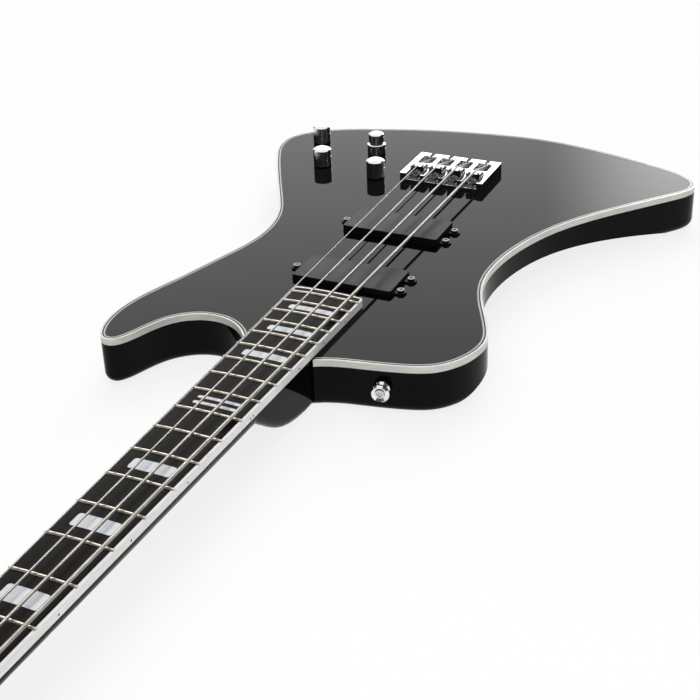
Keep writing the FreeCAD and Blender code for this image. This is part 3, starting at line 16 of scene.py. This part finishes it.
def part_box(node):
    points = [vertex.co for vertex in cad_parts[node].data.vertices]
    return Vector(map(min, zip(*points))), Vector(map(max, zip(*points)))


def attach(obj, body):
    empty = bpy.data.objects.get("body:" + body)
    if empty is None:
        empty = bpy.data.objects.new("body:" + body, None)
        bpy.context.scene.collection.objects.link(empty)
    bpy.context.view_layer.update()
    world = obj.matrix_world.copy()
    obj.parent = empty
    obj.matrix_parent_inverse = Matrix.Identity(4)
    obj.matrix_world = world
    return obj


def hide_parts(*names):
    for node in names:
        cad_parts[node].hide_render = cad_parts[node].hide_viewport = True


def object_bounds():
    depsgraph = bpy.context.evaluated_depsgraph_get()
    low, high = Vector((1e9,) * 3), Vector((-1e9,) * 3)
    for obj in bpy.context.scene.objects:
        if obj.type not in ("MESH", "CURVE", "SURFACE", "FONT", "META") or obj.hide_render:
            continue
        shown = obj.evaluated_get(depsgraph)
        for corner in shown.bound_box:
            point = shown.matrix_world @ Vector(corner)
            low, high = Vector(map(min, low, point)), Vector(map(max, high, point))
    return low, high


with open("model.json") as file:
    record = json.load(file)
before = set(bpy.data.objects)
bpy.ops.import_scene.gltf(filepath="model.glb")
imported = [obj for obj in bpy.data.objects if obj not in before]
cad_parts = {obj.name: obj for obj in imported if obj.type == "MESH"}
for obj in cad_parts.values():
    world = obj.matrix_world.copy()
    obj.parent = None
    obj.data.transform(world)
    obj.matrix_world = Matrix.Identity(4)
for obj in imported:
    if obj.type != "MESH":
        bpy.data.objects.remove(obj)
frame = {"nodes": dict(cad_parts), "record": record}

MM = 0.001
solid_low, solid_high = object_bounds()
nodes = frame["nodes"]
print("solids:", len(nodes), "box", [round(v, 4) for v in solid_low], [round(v, 4) for v in solid_high])

# %% [markdown]
# ## Camera
# A camera can be moved by hand until the render looks right, but two views that look alike may still
# stand far apart.  This one was worked out from the frets: their spacing is known, so their places in the
# picture fix where the camera stood.  It looks along the neck from above the fretboard's bass side.  The
# lens axis isn't in the middle of the picture, and a small vertical shift says so without bending the view.

# %% Camera
PICTURE = 700
FOCAL_PIXELS = 1359.5
AXIS_ROW = 287
AZIMUTH = math.radians(115.83)
ELEVATION = math.radians(27.24)
ROLL = math.radians(-2.229)
DISTANCE = 1102.6 * MM
AIM = Vector((248.8, 12.16, 47.37)) * MM
SENSOR_WIDTH = 36
VIEW_REACH = 80


def way_to(azimuth, elevation):
    """Unit vector from the aim: azimuth 0 is -y and turns towards +x, elevation lifts it."""
    level = math.cos(elevation)
    return Vector((math.sin(azimuth) * level, -math.cos(azimuth) * level, math.sin(elevation)))


def look_from(azimuth, elevation, roll, distance, aim):
    """Camera matrix: back points from the aim to the camera, right is level before the roll turns it."""
    back = way_to(azimuth, elevation)
    right = back.cross(Vector((0, 0, -1))).normalized()
    up = back.cross(right)
    tilted_right = right * math.cos(roll) + up * math.sin(roll)
    tilted_up = up * math.cos(roll) - right * math.sin(roll)
    turn = Matrix((tilted_right, tilted_up, back)).transposed().to_4x4()
    return Matrix.Translation(aim + back * distance) @ turn


lens = bpy.data.cameras.new("camera")
lens.sensor_width = SENSOR_WIDTH
lens.lens = FOCAL_PIXELS * SENSOR_WIDTH / PICTURE
lens.shift_y = (AXIS_ROW - PICTURE / 2) / PICTURE
lens.clip_end = VIEW_REACH
camera = bpy.data.objects.new("camera", lens)
camera.matrix_world = look_from(AZIMUTH, ELEVATION, ROLL, DISTANCE, AIM)
bpy.context.scene.collection.objects.link(camera)
bpy.context.scene.camera = camera
bpy.context.scene.view_settings.view_transform = "Standard"
print("camera at", [round(v, 3) for v in camera.matrix_world.translation], "lens", round(lens.lens, 2))

# %% [markdown]
# ## Networks of nodes
# The light, the paper and the finishes are all small networks of nodes.  They could be wired by hand in
# the node editor, but a script can be read and run again.  Three helpers keep it short: one adds a node with
# its settings, one joins two values by arithmetic, and one carries a value from one range to another.

# %% Tools for networks
RANGE_SOCKETS = ("From Min", "From Max", "To Min", "To Max")


def add_node(tree, kind, **settings):
    """One node, with its settings and the defaults of its inputs given by name."""
    node = tree.nodes.new(kind)
    for name, value in settings.items():
        if name in node.inputs:
            node.inputs[name].default_value = value
        else:
            setattr(node, name, value)
    return node


def join(tree, operation, first, second):
    """A sum, product or the like of two values, each a socket or a number."""
    maths = add_node(tree, "ShaderNodeMath", operation=operation)
    for place, value in zip(maths.inputs, (first, second)):
        if isinstance(value, (int, float)):
            place.default_value = value
        else:
            tree.links.new(value, place)
    return maths.outputs[0]


def remap(tree, value, source, target, **settings):
    """A value carried from one range of numbers to another, and held at its ends."""
    step = add_node(tree, "ShaderNodeMapRange", **settings)
    for name, number in zip(RANGE_SOCKETS, (*source, *target)):
        step.inputs[name].default_value = number
    tree.links.new(value, step.inputs["Value"])
    return step.outputs["Result"]


print("tools ready: add_node, join and remap")

# %% [markdown]
# ## The room's light
# Black lacquer shows what stands around it more than its own colour.  A picture of a room could be wrapped
# round the scene, but what the lacquer has to mirror here is simple enough to paint.  The room is dim, so
# the sides stay dark.  A wide soft glow stands behind the tail, which the flat top mirrors as an even grey,
# and one brighter sheet of light further round lifts the far corner.  Both are painted into the world by
# the cosine of the angle to their middles.

# %% The room's light
ROOM_LEVEL = 0.12
SHEEN_WAY = way_to(math.radians(-66), math.radians(33))
SHEEN_COSINES = (0.78, 1.0)
SHEEN_LEVEL = 3.4
SHEET_WAY = way_to(math.radians(-88), math.radians(22))
SHEET_COSINES = (0.970, 0.992)
SHEET_LEVEL = 6.8


def lobe(tree, direction, towards, cosines, level):
    """Light round one direction: level times a smooth step of the cosine between two values."""
    dot = add_node(tree, "ShaderNodeVectorMath", operation="DOT_PRODUCT")
    tree.links.new(direction, dot.inputs[0])
    dot.inputs[1].default_value = towards
    return remap(tree, dot.outputs["Value"], cosines, (0, level), interpolation_type="SMOOTHSTEP")


world = bpy.data.worlds.new("studio")
world.use_nodes = True
bpy.context.scene.world = world
sky = world.node_tree
sky.nodes.clear()
direction = add_node(sky, "ShaderNodeTexCoord").outputs["Generated"]
sheen = lobe(sky, direction, SHEEN_WAY, SHEEN_COSINES, SHEEN_LEVEL)
sheet = lobe(sky, direction, SHEET_WAY, SHEET_COSINES, SHEET_LEVEL)
dome = add_node(sky, "ShaderNodeBackground")
sky.links.new(join(sky, "ADD", join(sky, "ADD", sheen, sheet), ROOM_LEVEL), dome.inputs["Strength"])
sky.links.new(dome.outputs[0], add_node(sky, "ShaderNodeOutputWorld").inputs["Surface"])
print("glow towards", [round(v, 2) for v in SHEEN_WAY], "sheet towards", [round(v, 2) for v in SHEET_WAY])

# %% [markdown]
# ## The floor
# The instrument lies on white paper that rises in a cove far away, so that no edge is in view.  A plane with
# one end bent up would do for a single view.  One profile turned round the z axis does for all of them.

# %% The paper's surface
PAPER_GAP = 1 * MM
PAPER_MIDDLE = 0.5
PAPER_REACH = 14.0
COVE_HEIGHT = 3.6
COVE_STEPS = 12
PAPER_SIDES = 96


def paper_profile():
    """Radius and height: flat to the cove, then a quarter circle up to its top."""
    turn = np.linspace(0, np.pi / 2, COVE_STEPS)
    radius = PAPER_REACH + COVE_HEIGHT * np.sin(turn)
    height = COVE_HEIGHT * (1 - np.cos(turn))
    return np.concatenate([[(PAPER_MIDDLE, 0)], np.stack([radius, height], axis=-1)])


def ring_quads(rows, columns, first=0):
    """Quads of a grid that closes on itself round the columns, whose points are numbered row by row."""
    row, column = np.meshgrid(np.arange(rows - 1), np.arange(columns), indexing="ij")
    beside = (column + 1) % columns
    here = row * columns
    above = here + columns
    quads = np.stack([here + column, here + beside, above + beside, above + column], axis=-1)
    return quads.reshape(-1, 4) + first


def turned(profile, sides):
    """Surface of revolution about z: row i, column j is the profile's point i at the angle j."""
    angle = np.arange(sides) * 2 * np.pi / sides
    radius, height = np.asarray(profile, float).T
    return np.stack([radius[:, None] * np.cos(angle), radius[:, None] * np.sin(angle),
                     np.repeat(height[:, None], sides, axis=1)], axis=-1)


paper_points = turned(paper_profile(), PAPER_SIDES)
paper_points[:, :, 2] += solid_low.z - PAPER_GAP
paper_faces = ring_quads(*paper_points.shape[:2])[:, ::-1].tolist() + [list(range(PAPER_SIDES))]
paper_mesh = bpy.data.meshes.new("paper")
paper_mesh.from_pydata(paper_points.reshape(-1, 3).tolist(), [], paper_faces)
paper_mesh.polygons.foreach_set("use_smooth", np.full(len(paper_mesh.polygons), True))
paper = bpy.data.objects.new("paper", paper_mesh)
bpy.context.scene.collection.objects.link(paper)
print("paper at z", round(solid_low.z - PAPER_GAP, 4), "reaching", PAPER_REACH, "m")

# %% [markdown]
# ### The paper's paint
# Paper that is only lit comes out uneven, and more light would bleach the instrument too.  So where the
# paper is seen, in the picture or in a mirror, most of it glows evenly white, and the rest keeps the soft
# shadow under the instrument.  The Light Path node tells those rays from all others.

# %% The paper's paint
PAPER_COLOUR = (0.93, 0.93, 0.93, 1)
PAPER_ROUGHNESS = 0.9
PAPER_GLOW = 0.82

paper_paint = bpy.data.materials.new("paper_paint")
paper_paint.use_nodes = True
paint = paper_paint.node_tree
matt = paint.nodes["Principled BSDF"]
matt.inputs["Base Color"].default_value = PAPER_COLOUR
matt.inputs["Roughness"].default_value = PAPER_ROUGHNESS
matt.inputs["Specular IOR Level"].default_value = 0.0
rays = add_node(paint, "ShaderNodeLightPath").outputs
seen = join(paint, "MAXIMUM", rays["Is Camera Ray"], rays["Is Glossy Ray"])
seen = join(paint, "MAXIMUM", seen, rays["Is Transmission Ray"])
blend = add_node(paint, "ShaderNodeMixShader")
paint.links.new(join(paint, "MULTIPLY", seen, PAPER_GLOW), blend.inputs["Fac"])
paint.links.new(matt.outputs[0], blend.inputs[1])
paint.links.new(add_node(paint, "ShaderNodeEmission", Strength=1.0).outputs[0], blend.inputs[2])
paint.links.new(blend.outputs[0], paint.nodes["Material Output"].inputs["Surface"])
paper_mesh.materials.append(paper_paint)
print("paper glows by", PAPER_GLOW, "where it is seen")

# %% [markdown]
# ### Lamps
# A broad lamp hangs overhead, because a small one would throw a hard shadow.  A second stands behind the
# camera for what is matt, and mirrors don't show it, so the plated sides stay dark.

# %% Lamps
BODY_MIDDLE = Vector((0.2, 0, 0.04))
OVERHEAD_OFFSET = Vector((-0.3, -0.3, 2.4))
OVERHEAD_SIZE = 4.0
OVERHEAD_WATTS = 46
FRONT_OFFSET = way_to(math.radians(123), math.radians(26)) * 2.8
FRONT_SIZE = 3.2
FRONT_WATTS = 34


def panel(name, offset, size, watts):
    """A square lamp at an offset from the middle of the body, which it faces."""
    lamp = bpy.data.lights.new(name, "AREA")
    lamp.size = size
    lamp.energy = watts
    holder = bpy.data.objects.new(name, lamp)
    holder.location = BODY_MIDDLE + offset
    holder.rotation_euler = (BODY_MIDDLE - holder.location).to_track_quat("-Z", "Y").to_euler()
    bpy.context.scene.collection.objects.link(holder)
    return holder


panel("overhead", OVERHEAD_OFFSET, OVERHEAD_SIZE, OVERHEAD_WATTS)
front = panel("front", FRONT_OFFSET, FRONT_SIZE, FRONT_WATTS)
front.visible_glossy = False
print("lamps of", OVERHEAD_WATTS, "and", FRONT_WATTS, "W")

# %% [markdown]
# ## Finishes
# A finish is a small network round one shader.  Pictures of real materials could be wrapped round the pieces,
# but each piece would have to be unwrapped first.  Here, values that are the same all over sit on the
# shader's own sockets; what varies, such as grain, streaks and wear, comes from noise in the object's own
# coordinates, so a pattern stays on its piece from every side.

# %% Tools for finishes
NOISE_RANGE = (0.3, 0.7)
WAVE_FACTOR = 20
finishes = {}


def finish(name, colour, roughness, metallic=0.0, **sockets):
    """A new finish with one shader: its plain values are set on the sockets."""
    made = bpy.data.materials.new(name)
    made.use_nodes = True
    tree = made.node_tree
    shader = tree.nodes["Principled BSDF"]
    shader.inputs["Base Color"].default_value = (*colour, 1)
    shader.inputs["Roughness"].default_value = roughness
    shader.inputs["Metallic"].default_value = metallic
    for socket, value in sockets.items():
        shader.inputs[socket.replace("_", " ")].default_value = value
    finishes[name] = made
    return tree, shader


def grain(tree, scale, detail=4.0, roughness=0.5, stretch=(1, 1, 1)):
    """Noise in object coordinates, which are multiplied by a factor along each axis."""
    place = add_node(tree, "ShaderNodeTexCoord").outputs["Object"]
    fit = add_node(tree, "ShaderNodeMapping")
    fit.inputs["Scale"].default_value = stretch
    tree.links.new(place, fit.inputs["Vector"])
    noise = add_node(tree, "ShaderNodeTexNoise", Scale=scale, Detail=detail, Roughness=roughness)
    tree.links.new(fit.outputs[0], noise.inputs["Vector"])
    return noise.outputs["Fac"]


def waves(tree, pitch, axis="X"):
    """Even ridges across one axis: the texture makes one every 2 pi over WAVE_FACTOR times its scale."""
    place = add_node(tree, "ShaderNodeTexCoord").outputs["Object"]
    wave = add_node(tree, "ShaderNodeTexWave", wave_type="BANDS", bands_direction=axis, wave_profile="SIN",
                    Scale=2 * math.pi / (WAVE_FACTOR * pitch))
    tree.links.new(place, wave.inputs["Vector"])
    return wave.outputs["Fac"]


def tint(tree, value, stops, shader):
    """The shader's colour, read along a value from stops of a place and a colour."""
    ramp = add_node(tree, "ShaderNodeValToRGB")
    while len(ramp.color_ramp.elements) < len(stops):
        ramp.color_ramp.elements.new(0.5)
    for element, (place, colour) in zip(ramp.color_ramp.elements, stops):
        element.position = place
        element.color = (*colour, 1)
    tree.links.new(value, ramp.inputs["Fac"])
    tree.links.new(ramp.outputs["Color"], shader.inputs["Base Color"])


def spread(tree, noise, low, high, shader):
    """The shader's roughness, which goes between two numbers as a noise crosses its usual range."""
    tree.links.new(remap(tree, noise, NOISE_RANGE, (low, high)), shader.inputs["Roughness"])


def relief(tree, height, depth, shader):
    """Bump of a depth in metres from a value between 0 and 1."""
    bump = add_node(tree, "ShaderNodeBump", Distance=depth)
    tree.links.new(height, bump.inputs["Height"])
    tree.links.new(bump.outputs["Normal"], shader.inputs["Normal"])


print("tools ready: finish, grain, waves, tint, spread and relief")

# %% [markdown]
# ### Lacquer and wood
# The body and neck are sprayed black and polished like a piano: a deep, even black under a clear
# mirror, with only the faintest haze left by the polishing wheel.  A clear coat over a black base would show
# it too, but one layer with a low index of refraction mirrors less of the floor.  The fretboard is bare black
# wood with fine streaks along the neck and a soft, dry shine, so its noise is drawn out along x.

# %% Lacquer and wood
PORE_DEPTH = 0.06 * MM

tree, shader = finish("black_lacquer", (0.004, 0.004, 0.0045), 0.03, IOR=1.16)
spread(tree, grain(tree, 9, 3), 0.015, 0.04, shader)
tint(tree, grain(tree, 30, 5), [(0.3, (0.0015, 0.0015, 0.0017)), (0.7, (0.003, 0.003, 0.0033))], shader)

tree, shader = finish("fretboard_wood", (0.01, 0.008, 0.007), 0.5, IOR=1.14)
streaks = grain(tree, 40, 6, 0.65, (0.12, 2.2, 2.2))
tint(tree, streaks, [(0.30, (0.003, 0.0026, 0.0024)), (0.55, (0.007, 0.006, 0.005)),
                     (0.75, (0.018, 0.014, 0.011))], shader)
spread(tree, streaks, 0.38, 0.55, shader)
relief(tree, grain(tree, 300, 3, 0.6, (0.08, 1.5, 1.5)), PORE_DEPTH, shader)
print("lacquer and wood made, pores", round(PORE_DEPTH / MM, 3), "mm deep")

# %% [markdown]
# ### Binding, pearl and bone
# The pale strips are celluloid, faintly streaked: an ivory one round the body's edge, a greyer fine line
# inside it, and a clean white one along the fretboard.  They differ only in their shades, so one function
# makes all three.  The blocks are cut from pearl sheet, whose clouds shift from white to cool grey, and the
# nut is bone, a little warmer.

# %% Binding, pearl and bone
def celluloid(name, dark, light):
    """Gloss strip whose colour drifts between two shades, in streaks that are longest along the neck."""
    tree, shader = finish(name, light, 0.2, IOR=1.45)
    tint(tree, grain(tree, 55, 4, 0.6, (0.6, 1, 3)), [(0.35, dark), (0.6, light)], shader)


celluloid("ivory_binding", (0.56, 0.55, 0.51), (0.66, 0.65, 0.61))
celluloid("purfling_line", (0.27, 0.27, 0.25), (0.36, 0.35, 0.33))
celluloid("white_binding", (0.80, 0.80, 0.78), (0.88, 0.88, 0.86))

tree, shader = finish("pearl", (0.55, 0.56, 0.59), 0.18, IOR=1.4, Coat_Weight=0.2, Coat_Roughness=0.05)
clouds = grain(tree, 130, 5, 0.6, (1, 0.55, 1))
tint(tree, clouds, [(0.30, (0.47, 0.49, 0.53)), (0.45, (0.55, 0.57, 0.61)), (0.55, (0.59, 0.60, 0.62)),
                    (0.72, (0.51, 0.53, 0.57))], shader)

tree, shader = finish("bone", (0.78, 0.75, 0.68), 0.3, IOR=1.5)
tint(tree, grain(tree, 200, 4, 0.6, (1, 0.2, 1)), [(0.35, (0.70, 0.67, 0.59)), (0.65, (0.82, 0.80, 0.74))],
     shader)
print("strips, pearl and bone made")

# %% [markdown]
# ### Metal
# Chrome is a clean mirror with the smallest haze.  The screws at the pickups are painted darker than steel:
# painted shade that stands in for the shade in their sockets.  Frets are polished along their crowns.  The
# strings are wound with fine round wire, so ridges run across them, and handling has dulled some stretches.
# The turns of wire could be modelled, but there are thousands of them, and a bump draws the same lines.

# %% Metal
WINDING_PITCH = 0.48 * MM
WINDING_DEPTH = 0.12 * MM

tree, shader = finish("chrome", (0.86, 0.86, 0.87), 0.05, 1.0)
spread(tree, grain(tree, 120, 4), 0.03, 0.08, shader)

tree, shader = finish("screw_steel", (0.62, 0.62, 0.63), 0.18, 1.0)
spread(tree, grain(tree, 500, 4), 0.12, 0.3, shader)

# Painted shade: the pickup screws' dark colour stands in for the shade in their sockets.
tree, shader = finish("screw_steel_painted_shade", (0.16, 0.16, 0.17), 0.22, 1.0)
spread(tree, grain(tree, 500, 4), 0.16, 0.3, shader)

tree, shader = finish("fret_metal", (0.64, 0.60, 0.52), 0.15, 1.0)
spread(tree, grain(tree, 400, 3, 0.5, (1, 0.05, 1)), 0.28, 0.4, shader)

tree, shader = finish("string_nickel", (0.54, 0.51, 0.46), 0.3, 1.0)
tint(tree, grain(tree, 60, 4), [(0.35, (0.46, 0.43, 0.38)), (0.65, (0.62, 0.59, 0.54))], shader)
relief(tree, waves(tree, WINDING_PITCH), WINDING_DEPTH, shader)
print("metals made, winding pitch", round(WINDING_PITCH / MM, 3), "mm")

# %% [markdown]
# ### Plastics
# The pickup covers are moulded with a fine satin texture, and the other dark plates and dots are smoother.
# The texture is far too fine for a mesh, so small noise lifts the surface as a bump, and broader noise
# varies the shine.

# %% Plastics
MOULD_DEPTH = 0.03 * MM

tree, shader = finish("pickup_plastic", (0.006, 0.006, 0.0065), 0.42, IOR=1.23)
relief(tree, grain(tree, 1800, 2), MOULD_DEPTH, shader)
spread(tree, grain(tree, 25, 3), 0.34, 0.44, shader)

tree, shader = finish("dark_plastic", (0.015, 0.015, 0.015), 0.35, IOR=1.45)
spread(tree, grain(tree, 40, 4), 0.3, 0.45, shader)
print("plastics made, moulded", round(MOULD_DEPTH / MM, 3), "mm deep")

# %% [markdown]
# ### Inside the cavities
# What lies in the cavities is seen only when the covers are off, and plain colours would do.  It is finished
# too, because the pieces may be used apart: wound coils, rubber leads, a battery and a green board.

# %% Inside the cavities
COIL_PITCH = 0.3 * MM
COIL_DEPTH = 0.1 * MM

tree, shader = finish("coil", (0.08, 0.035, 0.015), 0.4)
relief(tree, waves(tree, COIL_PITCH, "Z"), COIL_DEPTH, shader)
tint(tree, grain(tree, 80, 3), [(0.3, (0.05, 0.022, 0.01)), (0.7, (0.11, 0.05, 0.02))], shader)

tree, shader = finish("lead_rubber", (0.02, 0.02, 0.02), 0.6)
spread(tree, grain(tree, 150, 3), 0.5, 0.7, shader)

tree, shader = finish("battery_case", (0.08, 0.08, 0.09), 0.4, 0.3)
spread(tree, grain(tree, 90, 4), 0.3, 0.5, shader)

tree, shader = finish("circuit_board", (0.02, 0.12, 0.05), 0.4)
tint(tree, grain(tree, 260, 2), [(0.45, (0.015, 0.09, 0.04)), (0.55, (0.03, 0.16, 0.07))], shader)
print("finishes:", len(finishes))

# %% [markdown]
# ## Dressing the solids
# The record names a slot for each solid, and a slot is the name of a finish, so one loop dresses them all.
# Only the screws at the pickups are darker than their slot says: their own finish is painted shade, which
# stands in for the shade in their sockets.

# %% Give every solid its finish
# Painted shade: the pickup screws take a darker steel that stands in for the shade in their sockets.
PAINTED_SHADE_FINISH = {"pickup_screws": "screw_steel_painted_shade"}
for entry in frame["record"]["subparts"]:
    solid = nodes[entry["node"]]
    wanted = finishes[PAINTED_SHADE_FINISH.get(entry["node"], entry["material_slot"])]
    if solid.material_slots:
        for place in solid.material_slots:
            place.material = wanted
    else:
        solid.data.materials.append(wanted)

# %% [markdown]
# ## Softened edges
# Plated metal has no sharp edges: polishing rounds them by a fraction of a millimetre, and each rounded
# edge catches a line of light.  The solids stay as they are, and a modifier rounds what is shown.  Their
# triangles come loose, so a weld joins them first.

# %% Softened edges
EDGE_ROUND = 0.25 * MM
EDGE_STEPS = 2
JOIN_REACH = 0.002 * MM
SHARP_ANGLE = math.radians(40)
polished = [name for name in nodes if name.startswith(("bridge_base", "saddle_", "tuner_housings"))]
for name in polished:
    weld = nodes[name].modifiers.new("joined", "WELD")
    weld.merge_threshold = JOIN_REACH
    bevel = nodes[name].modifiers.new("rounded", "BEVEL")
    bevel.width = EDGE_ROUND
    bevel.segments = EDGE_STEPS
    bevel.limit_method = "ANGLE"
    bevel.angle_limit = SHARP_ANGLE
    bevel.harden_normals = True
print("edges rounded on", len(polished), "solids")

# %% [markdown]
# ## Knurled knobs
# The knobs are turned from brass, cut with a diamond knurl and plated.  A bump could draw the knurl, but the
# mesh itself would stay smooth, so the grooves are cut into it.  A profile is carried round the axis as one
# grid, and two crossing families of helical grooves are cut into its side, with flat lands between them.
# The lands mirror the black top, and the grooves catch the light and lift the tone of the side.  From here
# on, sizes are in millimetres.

# %% The knurled side
KNURL_COUNT = 30
KNURL_DEPTH_SHARE = 0.031
GROOVE_SHARE = 0.12
STEPS_PER_GROOVE = 14
KNOB_SIDES = KNURL_COUNT * STEPS_PER_GROOVE
SIDE_SHARE = 0.95


def groove(value):
    """Share of the full depth across one family: 1 on each whole number, 0 from the groove's edge on."""
    return np.clip(1 - 2 * np.abs(value - np.round(value)) / GROOVE_SHARE, 0, 1)


def knurled(points, radius, low, high):
    """A turned surface, moved inwards by the deeper of two crossing helices, a share of their pitch."""
    x, y, z = np.moveaxis(points, -1, 0)
    reach = np.hypot(x, y)
    pitch = 2 * np.pi * radius / KNURL_COUNT
    around = KNURL_COUNT * np.arctan2(y, x) / (2 * np.pi)
    along = (z - low) / pitch
    inside = (z > low) & (z < high) & (reach > SIDE_SHARE * radius)
    deepest = np.maximum(groove(around + along), groove(around - along))
    cut = KNURL_DEPTH_SHARE * pitch * np.where(inside, deepest, 0)
    points[:, :, :2] *= (1 - cut / reach)[:, :, None]
    return points


print("knurl:", KNURL_COUNT, "grooves each way on", KNOB_SIDES, "sides")

# %% [markdown]
# ### The profile of a knob
# The profile starts at the shaft's foot, goes up into the recess that clears the nut, then out, up the
# side and over the dome.  The lower knob of the stack is a ring on a tube, so that the upper knob's shaft
# turns inside it: its profile starts and ends at the bore.

# %% The profile of a knob
EDGE_CUT = 0.5
BARE_BAND = 0.9
RIM_STEP = 0.2
DOME_ROWS = 20


def knob_profile(radius, base, top, dome, shaft, foot, bore, recess):
    """Corners of (radius, height) up to the knurl's rows, then a cap from the rim in to the bore.

    The cap falls from the top by its drop times a power of the share of the rim's radius: power 2 is a
    dome, and power 8 a flat face with a rounded rim.
    """
    drop, power = dome
    low = base + BARE_BAND
    high = top - drop - BARE_BAND
    step = 2 * math.pi * radius / KNOB_SIDES
    rows = np.arange(low + step, high - step / 2, step)
    side = np.stack([np.full(len(rows), radius), rows], axis=-1)
    rim = radius - RIM_STEP
    spokes = np.linspace(rim, bore, DOME_ROWS)
    cap = np.stack([spokes, top - drop * (spokes / rim) ** power], axis=-1)
    inner = [(shaft, base)]
    if recess is not None:
        wide, deep = recess
        inner = [(shaft, base + deep), (wide, base + deep), (wide, base)]
    lower = [(bore, foot), (shaft, foot)] + inner
    lower += [(radius - EDGE_CUT, base), (radius, base + EDGE_CUT), (radius, low)]
    shoulder = [(radius, high), (radius, top - drop - RIM_STEP)]
    return np.concatenate([lower, side, shoulder, cap]), low, high


print("bare band", BARE_BAND, "mm at each end of the knurl, and", DOME_ROWS, "rows on the cap")

# %% [markdown]
# ### From a grid to a piece
# A turned grid is open at both ends.  A knob with a dome is closed by a small cap at each end, and the ring
# by joining its two ends along the bore.  The new piece rides on the body that turns.

# %% Pieces from grids
CREASE_ANGLE = SHARP_ANGLE / 2


def piece(name, points, faces, slot, body):
    """A mesh from millimetres, smooth but for its creases, that rides on a body and takes a slot's finish."""
    mesh = bpy.data.meshes.new(name)
    mesh.from_pydata((points * MM).tolist(), [], faces)
    mesh.polygons.foreach_set("use_smooth", np.full(len(mesh.polygons), True))
    mesh.update()
    mesh.set_sharp_from_angle(angle=CREASE_ANGLE)
    mesh.materials.append(finishes[slot])
    made = bpy.data.objects.new(name, mesh)
    bpy.context.scene.collection.objects.link(made)
    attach(made, body)
    return made


def closed_faces(rows, columns, first=0, hollow=False):
    """Quads of a turned grid; its first and last rings are joined if it is hollow and capped if it isn't."""
    start = np.arange(first, first + columns)
    end = start + (rows - 1) * columns
    if hollow:
        last = np.stack([end, np.roll(end, -1), np.roll(start, -1), start], axis=-1).tolist()
    else:
        last = [start[::-1].tolist(), end.tolist()]
    return ring_quads(rows, columns, first).tolist() + last


print("creases kept from", round(math.degrees(CREASE_ANGLE)), "degrees on")

# %% [markdown]
# ### The grub screw
# A grub screw holds each knob to its shaft.  Its rounded end stands a little out of the side that faces the
# strings, where it shows as one bright dot.  It is a turned profile too, laid on its side.

# %% The grub screw
POLE = 0.02
GRUB_WAY = np.array((-0.10, 0.995, 0))
GRUB_PROFILE = ((POLE, -1.2), (1.2, -1.2), (1.2, 0.05), (1.05, 0.3), (0.7, 0.45), (POLE, 0.5))
GRUB_SIDES = 32


def grub_screw(radius, level):
    """A turned profile laid along GRUB_WAY: z becomes the way out, x and y become aside and down."""
    upright = turned(GRUB_PROFILE, GRUB_SIDES)
    up = np.array((0, 0, 1.0))
    aside = np.cross(up, GRUB_WAY)
    turn = np.stack([aside, -up, GRUB_WAY])
    return upright @ turn + GRUB_WAY * radius + up * level


print("grub screw towards", GRUB_WAY.tolist())

# %% [markdown]
# ### Five knobs
# Three knobs stand alone, and two are stacked on one axis.  They differ only in a few sizes, so one loop
# turns them all.  Each takes its place and outer size from the solid that it stands for, and stays a hair's
# breadth above what is under it.

# %% Five knobs
KNOB_DOMES = {"volume": (3.0, 2), "blend": (3.0, 2), "mid": (3.0, 2), "bass": (0.7, 8), "treble": (2.6, 2)}
KNOB_GAP = 0.6
STACK_GAP = 0.4
SHAFT = 3.0
INNER_SHAFT = 2.0
RING_BORE = 2.1
NUT_RECESS = (7.0, 4.5)
GRUB_HEIGHT_SHARE = 0.46
top_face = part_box("treble_wing")[1].z / MM
ring_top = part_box("bass_knob")[1].z / MM
for label, dome in KNOB_DOMES.items():
    low, high = (Vector(corner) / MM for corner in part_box(label + "_knob"))
    outer = (high.x - low.x) / 2
    hollow = label == "bass"
    bore = RING_BORE if hollow else POLE
    base, shaft, recess = top_face + KNOB_GAP, SHAFT, NUT_RECESS
    if label == "treble":
        base, shaft, recess = ring_top + STACK_GAP, INNER_SHAFT, None
    profile, knurl_low, knurl_high = knob_profile(outer, base, high.z, dome, shaft, low.z, bore, recess)
    shell = knurled(turned(profile, KNOB_SIDES), outer, knurl_low, knurl_high)
    grub = grub_screw(outer, base + (high.z - base) * GRUB_HEIGHT_SHARE)
    shift = np.array(((low.x + high.x) / 2, (low.y + high.y) / 2, 0))
    points = np.concatenate([shell.reshape(-1, 3), grub.reshape(-1, 3)]) + shift
    faces = closed_faces(*shell.shape[:2], hollow=hollow)
    faces += closed_faces(*grub.shape[:2], first=shell.shape[0] * KNOB_SIDES)
    knob = piece(label + "_knob_turned", points, faces, "chrome", label)
    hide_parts(label + "_knob")
    span = (round(base, 2), round(high.z, 2))
    print(label, "knob: radius", round(outer, 2), "from and to", span, "faces", len(faces))
